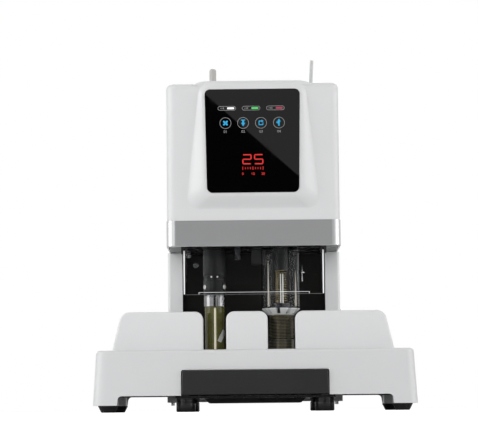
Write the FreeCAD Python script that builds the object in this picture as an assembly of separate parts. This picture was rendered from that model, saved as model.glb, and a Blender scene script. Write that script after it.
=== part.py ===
import FreeCAD, Part
import math
import os

V = FreeCAD.Vector
X_AXIS = V(1, 0, 0)
Y_AXIS = V(0, 1, 0)
Z_AXIS = V(0, 0, 1)

# Document drilling and riveting machine, in millimetres.
# X runs along the width, -Y is the operator's side, Z is up and the feet stand on Z = 0.

# ---- driving sizes: base ----
base_width = 430.0
base_front = -150.0
base_back = 80.0
body_back = 150.0
table_top = 82.0
base_draft = 4.25  # how far each side leans in by the table
base_corner = 14.0
base_edge = 5.0
shell = 3.0
face_proud = 2.0  # how far the drawer face and the mains inlet stand out, front and back
foot_height = 9.2
arch_rise = 12.3
arch_inset = 32.0  # width of the solid legs at the ends
arch_slope = 2.0
arch_round = 5.5
leg_height = 18.0
plate = 3.0

# ---- driving sizes: stations and travels ----
drill_x = -53.8
rivet_x = 36.3
station_y = -70.0
lift_travel = 58.0
drill_press_travel = 50.0
rivet_press_travel = 12.0
fence_travel = 50.0
throat_height = 139.0

# ---- driving sizes: column and head ----
column_half = 120.0
column_front = -12.0
column_wall = 2.5
column_round = 4.0
pillar_width = 20.5
recess_depth = 20.0
liner_wall = 2.2
head_setback = 3.2  # how far the column stands out past the head on each side
head_front = -118.0
head_corner = 11.5
head_edge = 7.0
head_height = 187.0
band_height = 35.0
band_proud = 0.8
band_wall = 2.4
band_edge = 1.0
floor_thick = 4.0

# ---- driving sizes: fence, drawer, guard ----
fence_bottom_half = 192.0
fence_lean = 12.8
fence_right_trim = 4.0  # the right block ends this much nearer to the middle
fence_height = 52.5
fence_front = -102.0
fence_thick = 22.0
fence_corner = 13.5
slot_round = 11.0
drawer_play = 6.6  # drawer face to side frame
drawer_height = 32.2
drawer_face = 5.0
guard_play = 4.5  # guard to the side of the recess
guard_drop = 64.0
guard_depth = 60.0
guard_wall = 2.0

# ---- clearances ----
gap = 0.3  # between faces of different bodies
run = 0.06  # radial running clearance of a shaft in its bore
loose = 1.0  # between fixed pieces that stand apart
reach = 1.0  # how far a cutting tool passes its face
far = 60.0  # size of a cutting tool that removes a whole side
near = 0.05  # how close an edge lies to a face that it is picked by

# ---- worked out from the sizes above ----
base_half = base_width / 2
arch_top = foot_height + arch_rise
arch_half = base_half - arch_inset
plate_top = leg_height + plate
plate_half = column_half - 14.0
plate_front = base_front + 10.0
table_under = table_top - shell
head_bottom = table_top + throat_height
shell_bottom = head_bottom + band_height
head_top = shell_bottom + head_height
floor_bottom = head_bottom + gap
floor_top = floor_bottom + floor_thick
column_inner = column_half - column_wall
recess_half = column_half - pillar_width
liner_back = column_front + recess_depth + liner_wall
head_half = column_half - head_setback
head_inner = head_half - shell
frame_x = column_half - 16.0
frame_thick = 3.0
web_front = liner_back + 4.8  # front edge of the upright part of each side frame
drawer_half = frame_x - drawer_play
guard_half = recess_half - guard_play
fence_top = table_top + fence_height
motor_half = 21.0
lift_y = web_front - 1.0 + motor_half
band_half = head_half + band_proud
rear_inner = body_back - column_wall
stations = {"drill": drill_x, "rivet": rivet_x}


# ---- shapes used by many pieces ----

def block(x0, x1, y0, y1, z0, z1):
    return Part.makeBox(x1 - x0, y1 - y0, z1 - z0, V(x0, y0, z0))


def post(x, y, z0, z1, r):
    return Part.makeCylinder(r, z1 - z0, V(x, y, z0))


def tube(x, y, z0, z1, outer, inner):
    return post(x, y, z0, z1, outer).cut(post(x, y, z0 - reach, z1 + reach, inner))


def mirrored(x0, x1, y0, y1, z0, z1):
    """Two blocks, one each side of the middle plane."""
    return [block(x0, x1, y0, y1, z0, z1), block(-x1, -x0, y0, y1, z0, z1)]


def fused(*pieces):
    shape = pieces[0]
    for piece in pieces[1:]:
        shape = shape.fuse(piece)
    return shape.removeSplitter()


def cut_all(shape, tools):
    for tool in tools:
        shape = shape.cut(tool)
    return shape


def rounded_wire(x0, x1, y0, y1, z, r):
    """A closed rectangle with four round corners, anticlockwise."""
    edges = []
    corners = [(x1 - r, y0 + r, -90), (x1 - r, y1 - r, 0), (x0 + r, y1 - r, 90), (x0 + r, y0 + r, 180)]
    points = []
    for cx, cy, start in corners:
        angles = [math.radians(start + step) for step in (0, 45, 90)]
        points.append([V(cx + r * math.cos(a), cy + r * math.sin(a), z) for a in angles])
    for index, turn in enumerate(points):
        edges.append(Part.Arc(*turn).toShape())
        edges.append(Part.makeLine(turn[2], points[(index + 1) % 4][0]))
    return Part.Wire(edges)


def rounded_block(x0, x1, y0, y1, z0, z1, r):
    return Part.Face(rounded_wire(x0, x1, y0, y1, z0, r)).extrude(V(0, 0, z1 - z0))


def prism_x(points, x0, x1):
    """An outline of (y, z) points, drawn out along X."""
    outline = [V(x0, y, z) for y, z in points + points[:1]]
    return Part.Face(Part.makePolygon(outline)).extrude(V(x1 - x0, 0, 0))


def prism_y(points, y0, y1):
    """An outline of (x, z) points, drawn out along Y."""
    outline = [V(x, y0, z) for x, z in points + points[:1]]
    return Part.Face(Part.makePolygon(outline)).extrude(V(0, y1 - y0, 0))


def filleted(shape, r, test):
    """Rounds every edge whose middle and ends all pass the test."""
    edges = []
    for edge in shape.Edges:
        middle = edge.valueAt((edge.FirstParameter + edge.LastParameter) / 2)
        if all(test(p) for p in [middle] + [v.Point for v in edge.Vertexes]):
            edges.append(edge)
    return shape.makeFillet(r, edges)


def spring(x, y, z0, z1, mean, wire, turns):
    """A round-wire coil whose first and last turns touch z0 and z1."""
    height = z1 - z0 - 2 * wire
    helix = Part.makeHelix(height / turns, height, mean)
    helix.translate(V(x, y, z0 + wire))
    start = V(x + mean, y, z0 + wire)
    section = Part.Wire(Part.makeCircle(wire, start, Y_AXIS))
    return Part.Wire(helix.Edges).makePipeShell([section], True, True)


def save(name, *pieces):
    shape = pieces[0] if len(pieces) == 1 else Part.makeCompound(list(pieces))
    shape.exportStep("parts/" + name + ".step")


# ---- base ----

def base_section(z, inset):
    lean = base_draft * (z - foot_height) / (table_top - foot_height) + inset
    return rounded_wire(-base_half + lean, base_half - lean, base_front + lean, base_back - lean,
                        z, base_corner - inset)


def base_hull(z0, z1, inset):
    return Part.makeLoft([base_section(z0, inset), base_section(z1, inset)], True, True)


foot_inset_x = 20.0
foot_inset_y = 18.0
foot_top_r = 13.5
foot_bottom_r = 9.5
leg_depth = 34.0
key_r = 4.0
fence_mid_y = fence_front + fence_thick / 2
pad_r = 10.0
anvil_r = 6.0
web_notch_half = column_half - 7.0
drill_slot_half = 15.5
rivet_slot_half = 18.5
key_xs = [-120.0, (drill_x + drill_slot_half + rivet_x - rivet_slot_half) / 2, 120.0]


def drawer_opening():
    half, top = drawer_half + 2 * gap, drawer_bottom + drawer_height + 2 * gap
    opening = block(-half, half, base_front - reach, base_front + base_draft + shell + 2 * drawer_face,
                    foot_height - reach, top)
    return filleted(opening, drawer_corner + 2 * gap, lambda p: p.z > top - near and abs(p.x) > half - near)


def base_cover():
    hull = base_hull(foot_height, table_top, 0)
    hull = filleted(hull, base_edge, lambda p: p.z > table_top - near)
    hollow = base_hull(foot_height - reach, table_under, shell)
    arch = prism_y([(-arch_half, foot_height - reach), (arch_half, foot_height - reach),
                    (arch_half - arch_slope, arch_top), (-arch_half + arch_slope, arch_top)],
                   base_front - reach, base_back + reach)
    arch = filleted(arch, arch_round, lambda p: p.z > arch_top - near and abs(p.x) > arch_half - arch_slope - near)
    legs = hull.cut(block(-arch_half, arch_half, base_front - reach, base_back + reach, 0, table_top))
    legs = legs.common(block(-base_half, base_half, base_front, base_back, foot_height, arch_top))
    legs = legs.cut(block(-base_half, base_half, base_front + leg_depth, base_back - leg_depth, 0, table_top))
    cover = fused(hull.cut(hollow), *legs.Solids).cut(arch)
    notches = [drawer_opening(),
               block(-web_notch_half, web_notch_half, web_front - frame_thick, base_back + reach,
                     table_under - reach, table_top + reach),
               block(-column_half - loose, column_half + loose, base_back - base_draft - shell - reach,
                     base_back + reach, 0, table_top + reach),
               post(drill_x, station_y, table_under - reach, table_top + reach, pad_r + 2 * gap),
               post(rivet_x, station_y, table_under - reach, table_top + reach, anvil_r + 2 * gap)]
    for x in key_xs:
        notches.append(block(x - key_r - gap, x + key_r + gap, fence_mid_y - key_r - gap,
                             fence_mid_y + fence_travel + key_r + gap, table_under - reach, table_top + reach))
    save("base_cover", cut_all(cover, notches))


leg_r = 13.0
leg_edge = 1.5
leg_x = frame_x - 11.0
leg_ys = [base_front + 50.0, body_back - 50.0]
rail_in = leg_x + leg_r + 1.0
rail_out = column_half + 1.6
rail_bottom = foot_height + 4.0
pan_half = 69.0
pan_bottom = foot_height + 2.4
pan_depth = 120.0
pan_slope = 6.0
strap_half = 9.0
strap_lap = 9.0
strap_short = 12.0


def base_plate():
    step_y = base_back - shell - loose
    front = block(-plate_half, plate_half, plate_front, column_front + reach, leg_height, plate_top)
    wide = block(-rail_out, rail_out, column_front, step_y, leg_height, plate_top)
    back = block(-column_inner + gap, column_inner - gap, step_y, rear_inner - loose, leg_height, plate_top)
    straps = []
    for y, edge in ((base_front + leg_depth / 2, plate_half), (base_back - leg_depth / 2, rail_out)):
        straps += mirrored(edge - strap_lap, edge, y - strap_half, y + strap_half, leg_height, arch_top + plate)
        straps += mirrored(edge - strap_lap, base_half - strap_short, y - strap_half, y + strap_half,
                           arch_top, arch_top + plate)
    save("base_plate", fused(front, wide, back, *straps))


def under_parts():
    rails = mirrored(rail_in, rail_out, column_front, base_back - shell, rail_bottom, leg_height)
    save("under_rails", *rails)
    pan = prism_y([(-pan_half, leg_height), (pan_half, leg_height), (pan_half - pan_slope, pan_bottom),
                   (-pan_half + pan_slope, pan_bottom)], -pan_depth / 2, pan_depth / 2)
    save("under_pan", pan)


def feet():
    foot_x = base_half - foot_inset_x
    foot_ys = [base_front + foot_inset_y, base_back - foot_inset_y]
    corner = []
    centre = []
    for side in (-1, 1):
        for y in foot_ys:
            corner.append(Part.makeCone(foot_bottom_r, foot_top_r, foot_height, V(side * foot_x, y, 0)))
        for y in leg_ys:
            pad = post(side * leg_x, y, 0, leg_height, leg_r)
            centre.append(filleted(pad, leg_edge, lambda p: p.z < near))
    save("corner_feet", *corner)
    save("centre_legs", *centre)


# ---- chip drawer ----

drawer_bottom = plate_top + 1.5
drawer_front_y = base_front - face_proud
tray_half = drawer_half - 6.2
tray_wall = 2.0
tray_top = drawer_bottom + 27.0
tray_back = column_front - 8.0
drawer_lean = 1.3
drawer_corner = 2.5
drawer_edge = 1.2
runner_wide = 5.0
runner_ledge = 3.0
runner_height = 8.0
runner_inset = 4.0


def drawer():
    top = drawer_bottom + drawer_height
    face = prism_y([(-drawer_half, drawer_bottom), (drawer_half, drawer_bottom),
                    (drawer_half - drawer_lean, top), (-drawer_half + drawer_lean, top)],
                   drawer_front_y, drawer_front_y + drawer_face)
    face = filleted(face, drawer_corner, lambda p: abs(p.x) > drawer_half - drawer_lean - near
                    and p.z > top - near)
    save("drawer_front", filleted(face, drawer_edge, lambda p: p.y < drawer_front_y + near))
    tray = block(-tray_half, tray_half, drawer_front_y + drawer_face, tray_back, drawer_bottom, tray_top)
    hollow = block(-tray_half + tray_wall, tray_half - tray_wall, drawer_front_y + drawer_face + tray_wall,
                   tray_back - tray_wall, drawer_bottom + tray_wall, tray_top + reach)
    save("drawer_tray", tray.cut(hollow))


def drawer_runners():
    inner = tray_half + gap
    front = plate_front + runner_inset
    back = tray_back + runner_inset
    rails = []
    for wall in mirrored(inner, inner + runner_wide, front, back, plate_top, drawer_bottom + runner_height):
        side = 1 if wall.CenterOfMass.x > 0 else -1
        x0, x1 = sorted([side * (inner - runner_ledge), side * inner])
        ledge = block(x0, x1, front, back, plate_top, drawer_bottom - gap)
        rails.append(fused(wall, ledge))
    save("drawer_runners", *rails)


# ---- steel frame ----

frame_back = 140.0
arm_front = station_y - 30.0
arm_rise = 75.0  # height of the head arm at its front end
beam_inset = 4.0
window_margin = 3.0
arm_top = 70.0
frame_top = head_top - 8.0
beam_thick = 8.0
beam_top = 66.0
top_plate_thick = 3.5
rod_r = 5.0
rod_spread = 24.0
screw_r = 5.0
switch_y = 51.0
switch_z = 132.0
switch_half_y = 13.0
switch_half_z = 14.0


def side_frames():
    outline = [(arm_front, plate_top), (frame_back, plate_top), (frame_back, frame_top),
               (lift_y + rod_r, frame_top), (arm_front, floor_top + arm_rise), (arm_front, floor_top),
               (web_front, floor_top), (web_front, arm_top), (arm_front, arm_top)]
    left = prism_x(outline, -frame_x - frame_thick, -frame_x)
    right = prism_x(outline, frame_x, frame_x + frame_thick)
    window_y = switch_half_y + window_margin
    window_z = switch_half_z + window_margin
    window = block(0, base_half, switch_y - window_y, switch_y + window_y,
                   switch_z - window_z, switch_z + window_z)
    save("side_frames", left, right.cut(window))


def anvil_beam():
    beam = block(-frame_x, frame_x, arm_front + beam_inset, liner_back - liner_wall,
                 beam_top - beam_thick, beam_top)
    save("anvil_beam", beam)


def top_plate():
    half = frame_x + frame_thick
    save("top_plate", block(-half, half, web_front, lift_y + motor_half,
                            frame_top, frame_top + top_plate_thick))


def head_floor():
    floor = rounded_block(-band_half + band_wall + gap, band_half - band_wall - gap,
                          head_front - band_proud + band_wall + gap, rear_inner - gap,
                          floor_bottom, floor_top, head_corner + band_proud - band_wall)
    holes = [post(drill_x, station_y, floor_bottom - reach, floor_top + reach, housing_r + loose),
             post(rivet_x, station_y, floor_bottom - reach, floor_top + reach, shield_r + loose)]
    for x in stations.values():
        holes.append(post(x, lift_y, floor_bottom - reach, floor_top + reach, screw_r + loose))
    holes += mirrored(frame_x - gap, frame_x + frame_thick + gap, web_front - gap, frame_back + gap,
                      floor_bottom - reach, floor_top + reach)
    save("head_floor", cut_all(floor, holes))


def guide_rods():
    rods = []
    for x in stations.values():
        for side in (-1, 1):
            rods.append(post(x + side * rod_spread, lift_y, floor_top, frame_top, rod_r))
    save("guide_rods", *rods)


# ---- lifts ----

motor_height = 40.0
motor_round = 3.0
boss_round = 4.0
coupling_r = 8.0
coupling_height = 14.0
boss_half = rod_spread + 8.0
boss_depth = 26.0
boss_front = lift_y - boss_depth / 2
boss_back = lift_y + boss_depth / 2
boss_bottom = head_bottom + 69.0
boss_height = 60.0
arm_bottom = boss_bottom + 10.0
arm_thick = 18.0
arm_upper = arm_bottom + arm_thick
housing_r = 15.5
housing_inner = 14.2
shield_r = 26.5
shield_inner = shield_r - 1.6


def lift_motors():
    motors = []
    for x in stations.values():
        body = block(x - motor_half, x + motor_half, lift_y - motor_half, lift_y + motor_half,
                     floor_bottom - motor_height, floor_bottom)
        motors.append(filleted(body, motor_round, lambda p, x=x: abs(abs(p.x - x) - motor_half) < near
                               and abs(abs(p.y - lift_y) - motor_half) < near))
    save("lift_motors", *motors)


def lead_screw(station):
    x = stations[station]
    thread = post(x, lift_y, floor_bottom + gap, frame_top - gap, screw_r)
    coupling = tube(x, lift_y, floor_top + gap, floor_top + gap + coupling_height, coupling_r, screw_r)
    save(station + "_screw", thread, coupling)


def carriage(station, front_r, bores):
    x = stations[station]
    boss = block(x - boss_half, x + boss_half, boss_front, boss_back, boss_bottom, boss_bottom + boss_height)
    boss = filleted(boss, boss_round, lambda p: abs(abs(p.x - x) - boss_half) < near
                    and p.y > boss_back - near)
    arm = block(x - front_r, x + front_r, station_y, boss_front, arm_bottom, arm_upper)
    nose = post(x, station_y, arm_bottom, arm_upper, front_r)
    body = fused(boss, arm, nose)
    for side in (-1, 0, 1):
        r = (screw_r if side == 0 else rod_r) + run
        bores.append(post(x + side * rod_spread, lift_y, boss_bottom - reach,
                          boss_bottom + boss_height + reach, r))
    save(station + "_carriage", cut_all(body, bores))


# ---- drill unit ----

drill_nose_r = 20.0
shaft_hole_r = 4.0
motor_shaft_r = 3.0
motor_edge = 2.0
belt_inset = 2.0
bearing_inset = 2.0
spindle_r = 6.0
bearing_height = 10.0
bearing_inner = spindle_r + run
sleeve_top = head_bottom - 37.0
sleeve_bottom = fence_top + 7.5
sleeve_r = 15.0
chuck_r = 10.0
chuck_top = floor_bottom + 15.0
press_top = sleeve_bottom + 28.0
chuck_bottom = press_top - 14.0
chuck_nose = 8.0
chuck_nose_r = 7.5
chuck_grip = 14.0
spindle_top = arm_upper + 18.0
pulley_bottom = arm_upper + 4.0
pulley_height = 12.0
pulley_r = 15.0
drive_pulley_r = 10.0
motor_y = station_y + 50.0
motor_r = 20.0
motor_length = 64.0
belt_thick = 1.5
bit_r = 3.2
bit_inner = 2.2
bit_bottom = table_top + 2.5
press_r = 13.85
press_inner = 12.0
press_bottom = table_top + 0.4
lower_bearing = chuck_top + 4.0
window_length = 14.0
window_width = 10.0
window_slant = 38.0
window_offset = 8.0
window_rise = 19.0
coil_mean = press_inner + 0.6
coil_wire = 0.7
coil_turns = 11


def drill_carriage():
    bores = [post(drill_x, station_y, arm_bottom - reach, arm_upper + reach, housing_inner),
             post(drill_x, motor_y, arm_bottom - reach, arm_upper + reach, shaft_hole_r)]
    carriage("drill", drill_nose_r, bores)


def spindle_housing():
    barrel = tube(drill_x, station_y, sleeve_top, arm_bottom, housing_r, housing_inner)
    bearings = []
    for z in (lower_bearing, arm_bottom + bearing_inset):
        bearings.append(tube(drill_x, station_y, z, z + bearing_height, housing_inner, bearing_inner))
    save("spindle_housing", barrel, *bearings)


def drill_sleeve():
    sleeve = tube(drill_x, station_y, sleeve_bottom, sleeve_top, sleeve_r, housing_inner)
    save("drill_sleeve", sleeve)


def spindle():
    shaft = post(drill_x, station_y, chuck_top, spindle_top, spindle_r)
    pulley = tube(drill_x, station_y, pulley_bottom, pulley_bottom + pulley_height, pulley_r, spindle_r)
    save("spindle", shaft, pulley)


def chuck_and_bit():
    body = post(drill_x, station_y, chuck_bottom, chuck_top, chuck_r)
    nose_cut = tube(drill_x, station_y, chuck_bottom - reach, chuck_bottom + chuck_nose,
                    chuck_r + reach, chuck_nose_r)
    bore = post(drill_x, station_y, chuck_bottom - reach, chuck_bottom + chuck_grip, bit_r)
    save("chuck", body.cut(nose_cut).cut(bore))
    save("drill_bit", tube(drill_x, station_y, bit_bottom, chuck_bottom + chuck_grip, bit_r, bit_inner))


def press_sleeve():
    sleeve = tube(drill_x, station_y, press_bottom, press_top, press_r, press_inner)
    window = block(-window_length / 2, window_length / 2, -press_r - reach, 0,
                   -window_width / 2, window_width / 2)
    window.rotate(V(0, 0, 0), Y_AXIS, window_slant)
    window.translate(V(drill_x + window_offset, station_y, press_bottom + window_rise))
    save("press_sleeve", sleeve.cut(window))
    coil = spring(drill_x, station_y, press_top, lower_bearing, coil_mean,
                  coil_wire, coil_turns)
    save("press_spring", coil)


def drill_motor():
    body = post(drill_x, motor_y, arm_bottom - motor_length, arm_bottom, motor_r)
    save("drill_motor", filleted(body, motor_edge, lambda p: p.z < arm_bottom - motor_length + near))
    shaft = post(drill_x, motor_y, arm_bottom + gap, spindle_top, motor_shaft_r)
    pulley = tube(drill_x, motor_y, pulley_bottom, pulley_bottom + pulley_height,
                  drive_pulley_r, motor_shaft_r)
    save("motor_pulley", shaft, pulley)


def belt_outline(offset, z, height):
    """The straight-sided loop round both pulleys, offset from their rims."""
    big = pulley_r + offset
    small = drive_pulley_r + offset
    span = motor_y - station_y
    lean = math.asin((big - small) / span)
    side_x = math.cos(lean)
    side_y = math.sin(lean)
    right_big = V(drill_x + big * side_x, station_y + big * side_y, z)
    right_small = V(drill_x + small * side_x, motor_y + small * side_y, z)
    left_small = V(drill_x - small * side_x, motor_y + small * side_y, z)
    left_big = V(drill_x - big * side_x, station_y + big * side_y, z)
    back = Part.Arc(right_small, V(drill_x, motor_y + small, z), left_small).toShape()
    front = Part.Arc(left_big, V(drill_x, station_y - big, z), right_big).toShape()
    loop = Part.Wire([Part.makeLine(right_big, right_small), back, Part.makeLine(left_small, left_big), front])
    return Part.Face(loop).extrude(V(0, 0, height))


def drive_belt():
    z = pulley_bottom + belt_inset
    height = pulley_height - 2 * belt_inset
    outer = belt_outline(gap + belt_thick, z, height)
    save("drive_belt", outer.cut(belt_outline(gap, z - reach, height + 2 * reach)))


# ---- rivet unit ----

shield_bottom = fence_top + 6.5
shield_top = floor_bottom + 15.0
collar_height = 11.0
collar_bottom = shield_bottom - collar_height
collar_low_r = 19.0
collar_high_r = shield_r + 1.5
collar_facets = 16
foot_r = 18.0
foot_edge = 1.2
foot_bottom = table_top + 0.5
foot_flange_top = table_top + 15.0
stem_r = 13.0
stem_inner = 6.5
stem_top = shield_bottom + 5.0
foot_coil_mean = 17.2
foot_coil_wire = 0.7
foot_coil_turns = 12
inner_coil_mean = 8.2
inner_coil_turns = 20
seat_thick = 4.0
punch_r = 2.4
punch_bottom = table_top + 4.0
heater_half = 16.0
heater_height = 44.0


def rivet_carriage():
    carriage("rivet", collar_high_r, [])


def heated_punch():
    block_top = arm_bottom
    body = block(rivet_x - heater_half, rivet_x + heater_half,
                 station_y - heater_half, station_y + heater_half, block_top - heater_height, block_top)
    body = filleted(body, motor_edge, lambda p: abs(abs(p.x - rivet_x) - heater_half) < near
                    and abs(abs(p.y - station_y) - heater_half) < near)
    rod = post(rivet_x, station_y, punch_bottom, block_top - heater_height, punch_r)
    save("heated_punch", fused(body, rod))


def shield_parts():
    mount = tube(rivet_x, station_y, shield_top, arm_bottom, shield_r, shield_inner)
    seat = tube(rivet_x, station_y, shield_top, shield_top + seat_thick, shield_inner + gap, punch_r + loose)
    save("shield_mount", fused(mount, seat))
    save("clear_shield", tube(rivet_x, station_y, shield_bottom, shield_top, shield_r, shield_inner))


def facet_wire(r, z):
    points = []
    for index in range(collar_facets + 1):
        turn = 2 * math.pi * (index + 1 / 2) / collar_facets
        points.append(V(rivet_x + r * math.cos(turn), station_y + r * math.sin(turn), z))
    return Part.makePolygon(points)


def rivet_collar():
    cone = Part.makeLoft([facet_wire(collar_low_r, collar_bottom), facet_wire(collar_high_r, shield_bottom)],
                         True, True)
    bore = post(rivet_x, station_y, collar_bottom - reach, shield_bottom + reach, stem_r + gap)
    save("rivet_collar", cone.cut(bore))


def press_foot():
    stem = post(rivet_x, station_y, foot_bottom, stem_top, stem_r)
    flange = post(rivet_x, station_y, foot_bottom, foot_flange_top, foot_r)
    flange = filleted(flange, foot_edge, lambda p: p.z < foot_bottom + near)
    body = fused(stem, flange).cut(post(rivet_x, station_y, foot_bottom - reach, stem_top + reach, stem_inner))
    save("press_foot", body)
    save("foot_coil", spring(rivet_x, station_y, foot_flange_top, collar_bottom, foot_coil_mean,
                             foot_coil_wire, foot_coil_turns))
    save("inner_spring", spring(rivet_x, station_y, stem_top, shield_top, inner_coil_mean,
                                coil_wire, inner_coil_turns))


# ---- table stations ----

holder_r = 14.0
pad_top = table_top
pad_bottom = beam_top + 5.0


def drill_pad():
    save("cutting_pad", post(drill_x, station_y, pad_bottom + gap, pad_top, pad_r))
    cup = post(drill_x, station_y, beam_top, table_under - gap, holder_r)
    save("pad_holder", cup.cut(post(drill_x, station_y, pad_bottom, table_top, pad_r + run)))


def rivet_anvil():
    save("rivet_anvil", post(rivet_x, station_y, beam_top, table_top, anvil_r))
    save("anvil_heater", tube(rivet_x, station_y, beam_top, table_under - gap, holder_r, anvil_r))


# ---- depth fence ----

fence_bottom = table_top + gap
fence_top_half = fence_bottom_half - fence_lean
fence_wall = 3.0
fence_margin = 2.0
fence_edge = 2.5
carrier_thick = 3.0
carrier_front = base_front + 7.5
carrier_depth = 7.0
carrier_half = 150.0
carrier_top = table_under - gap
arm_half = 6.0


def fence_block(x0_low, x0_high, x1_low, x1_high, left_r, right_r):
    """One upright block of the fence, its two top corners rounded, hollow from below."""
    outline = [(x0_low, fence_bottom), (x1_low, fence_bottom), (x1_high, fence_top), (x0_high, fence_top)]
    body = prism_y(outline, fence_front, fence_front + fence_thick)
    body = filleted(body, left_r, lambda p: p.z > fence_top - near and abs(p.x - x0_high) < near)
    body = filleted(body, right_r, lambda p: p.z > fence_top - near and abs(p.x - x1_high) < near)
    body = filleted(body, fence_edge, lambda p: p.y < fence_front + near and p.z > fence_bottom + near)
    inset = fence_wall + fence_margin
    drop = fence_wall + max(left_r, right_r) / 2
    hollow = prism_y([(x0_low + inset, fence_bottom - reach), (x1_low - inset, fence_bottom - reach),
                      (x1_high - inset, fence_top - drop), (x0_high + inset, fence_top - drop)],
                     fence_front + fence_wall, fence_front + fence_thick - fence_wall)
    return body.cut(hollow)


def fence():
    drill_edges = (drill_x - drill_slot_half, drill_x + drill_slot_half)
    rivet_edges = (rivet_x - rivet_slot_half, rivet_x + rivet_slot_half)
    blocks = [fence_block(-fence_bottom_half, -fence_top_half, drill_edges[0], drill_edges[0],
                          fence_corner, slot_round),
              fence_block(drill_edges[1], drill_edges[1], rivet_edges[0], rivet_edges[0],
                          slot_round, slot_round),
              fence_block(rivet_edges[1], rivet_edges[1], fence_bottom_half - fence_right_trim,
                          fence_top_half - fence_right_trim, slot_round, fence_corner)]
    pieces = []
    for body, x in zip(blocks, key_xs):
        pillar = post(x, fence_mid_y, fence_bottom, fence_top - fence_wall, key_r + loose)
        pieces.append(fused(body, pillar))
    save("fence", *pieces)


def fence_carrier():
    z0 = carrier_top - carrier_thick
    bar = block(-carrier_half, carrier_half, carrier_front, carrier_front + carrier_depth, z0, carrier_top)
    arms = []
    keys = []
    for x in key_xs:
        arms.append(block(x - arm_half, x + arm_half, carrier_front + carrier_depth / 2,
                          fence_mid_y + arm_half, z0, carrier_top))
        keys.append(post(x, fence_mid_y, z0, fence_bottom, key_r))
    save("fence_carrier", fused(bar, *arms, *keys))


# ---- column ----

def column_cover():
    upper = block(-column_half, column_half, column_front, body_back, table_top, head_bottom)
    upper = filleted(upper, column_round, lambda p: abs(p.y - column_front) < near
                     and abs(abs(p.x) - column_half) < near)
    upper = upper.cut(block(-column_inner, column_inner, column_front + column_wall, body_back + reach,
                            table_top - reach, head_bottom + reach))
    upper = upper.cut(block(-recess_half, recess_half, column_front - reach,
                            column_front + column_wall + reach, table_top - reach, head_bottom + reach))
    rims = mirrored(band_half - 2 * band_wall, column_half - loose, column_front + loose,
                    rear_inner - loose, head_bottom - column_wall, head_bottom)
    lower = mirrored(column_inner, column_half, base_back + gap, body_back, foot_height, table_top + reach)
    cover = fused(upper, *rims, *lower)
    hole = block(column_inner - reach, column_half + reach, switch_y - switch_half_y, switch_y + switch_half_y,
                 switch_z - switch_half_z, switch_z + switch_half_z)
    save("column_cover", cover.cut(hole))


def throat_liner():
    front = column_front + column_wall
    outer = block(-recess_half - liner_wall, recess_half + liner_wall, front, liner_back,
                  table_top, head_bottom)
    save("throat_liner", outer.cut(block(-recess_half, recess_half, front - reach, liner_back - liner_wall,
                                         table_top - reach, head_bottom + reach)))


vent_rows = 9
vent_pitch = 8.0
vent_half = 34.0
vent_x = 42.0
vent_height = 3.0
vent_bases = (head_bottom + 100.0, table_top + 20.0)
inlet_x = 80.0
inlet_z = 42.0
inlet_half_x = 12.0
inlet_half_z = 14.0
cover_bottom = 14.0


def rear_cover():
    low = block(-column_inner + gap, column_inner - gap, rear_inner - gap, body_back - gap,
                cover_bottom, head_bottom - column_wall - gap)
    high = block(-head_inner + gap, head_inner - gap, rear_inner - gap, body_back - gap,
                 cover_bottom, head_top - shell - gap)
    cover = fused(low, high)
    cuts = [block(inlet_x - inlet_half_x, inlet_x + inlet_half_x, rear_inner - reach, body_back + reach,
                  inlet_z - inlet_half_z, inlet_z + inlet_half_z)]
    for base_z in vent_bases:
        for row in range(vent_rows):
            z = base_z + row * vent_pitch
            for side in (-1, 1):
                x = side * vent_x
                cuts.append(block(x - vent_half, x + vent_half, rear_inner - reach, body_back + reach,
                                  z, z + vent_height))
    save("rear_cover", cut_all(cover, cuts))


# ---- head ----

bulge_low_half = 82.0
bulge_high_half = 76.0
bulge_taper = 7.0
bulge_lip = 7.0
bulge_brow = 4.0
bulge_corner = 12.0
bulge_face_corner = 9.0
bulge_root = 2.0
crown_root = 3.0
crown_flat = 26.0
crown_length = 60.0
bulge_bottom = shell_bottom + 23.0
bulge_top = head_top + 3.0
bulge_low_front = head_front - 13.0
bulge_high_front = head_front - 4.0
panel_bottom_half = 61.8
panel_top_half = 64.4
panel_bottom = shell_bottom + 36.0
panel_height = 142.0
panel_thick = 2.0
panel_corner = 7.5
panel_proud = 0.4
panel_play = 0.15
bulge_rise = bulge_top - bulge_brow - bulge_bottom - bulge_lip
panel_tilt = math.degrees(math.atan((bulge_high_front - bulge_low_front) / bulge_rise))


def bulge_ring(y_low, y_high, low_half, high_half, z_low, z_high, r):
    """A closed trapezoid with round corners, whose top may lie further back than its foot."""
    points = [V(-low_half, y_low, z_low), V(low_half, y_low, z_low), V(high_half, y_high, z_high),
              V(-high_half, y_high, z_high)]
    edges = []
    turns = []
    for index, corner in enumerate(points):
        before = (points[index - 1] - corner).normalize()
        after = (points[(index + 1) % 4] - corner).normalize()
        middle = (before + after).normalize()
        turns.append((corner + before * r, corner + middle * r * (math.sqrt(2) - 1), corner + after * r))
    for index, turn in enumerate(turns):
        edges.append(Part.Arc(*turn).toShape())
        edges.append(Part.makeLine(turn[2], turns[(index + 1) % 4][0]))
    return Part.Wire(edges)


def panel_solid(grow, thick, lift):
    """The glass panel's outline, drawn flat, then leaned back onto the bulge."""
    ring = bulge_ring(0, 0, panel_bottom_half + grow, panel_top_half + grow, -grow, panel_height + grow,
                      panel_corner + grow)
    body = Part.Face(ring).extrude(V(0, thick, 0))
    body.translate(V(0, -lift, 0))
    body.rotate(V(0, 0, 0), X_AXIS, -panel_tilt)
    rise = (panel_bottom - bulge_bottom - bulge_lip) / bulge_rise
    y = bulge_low_front + rise * (bulge_high_front - bulge_low_front)
    body.translate(V(0, y, panel_bottom))
    return body


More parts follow.
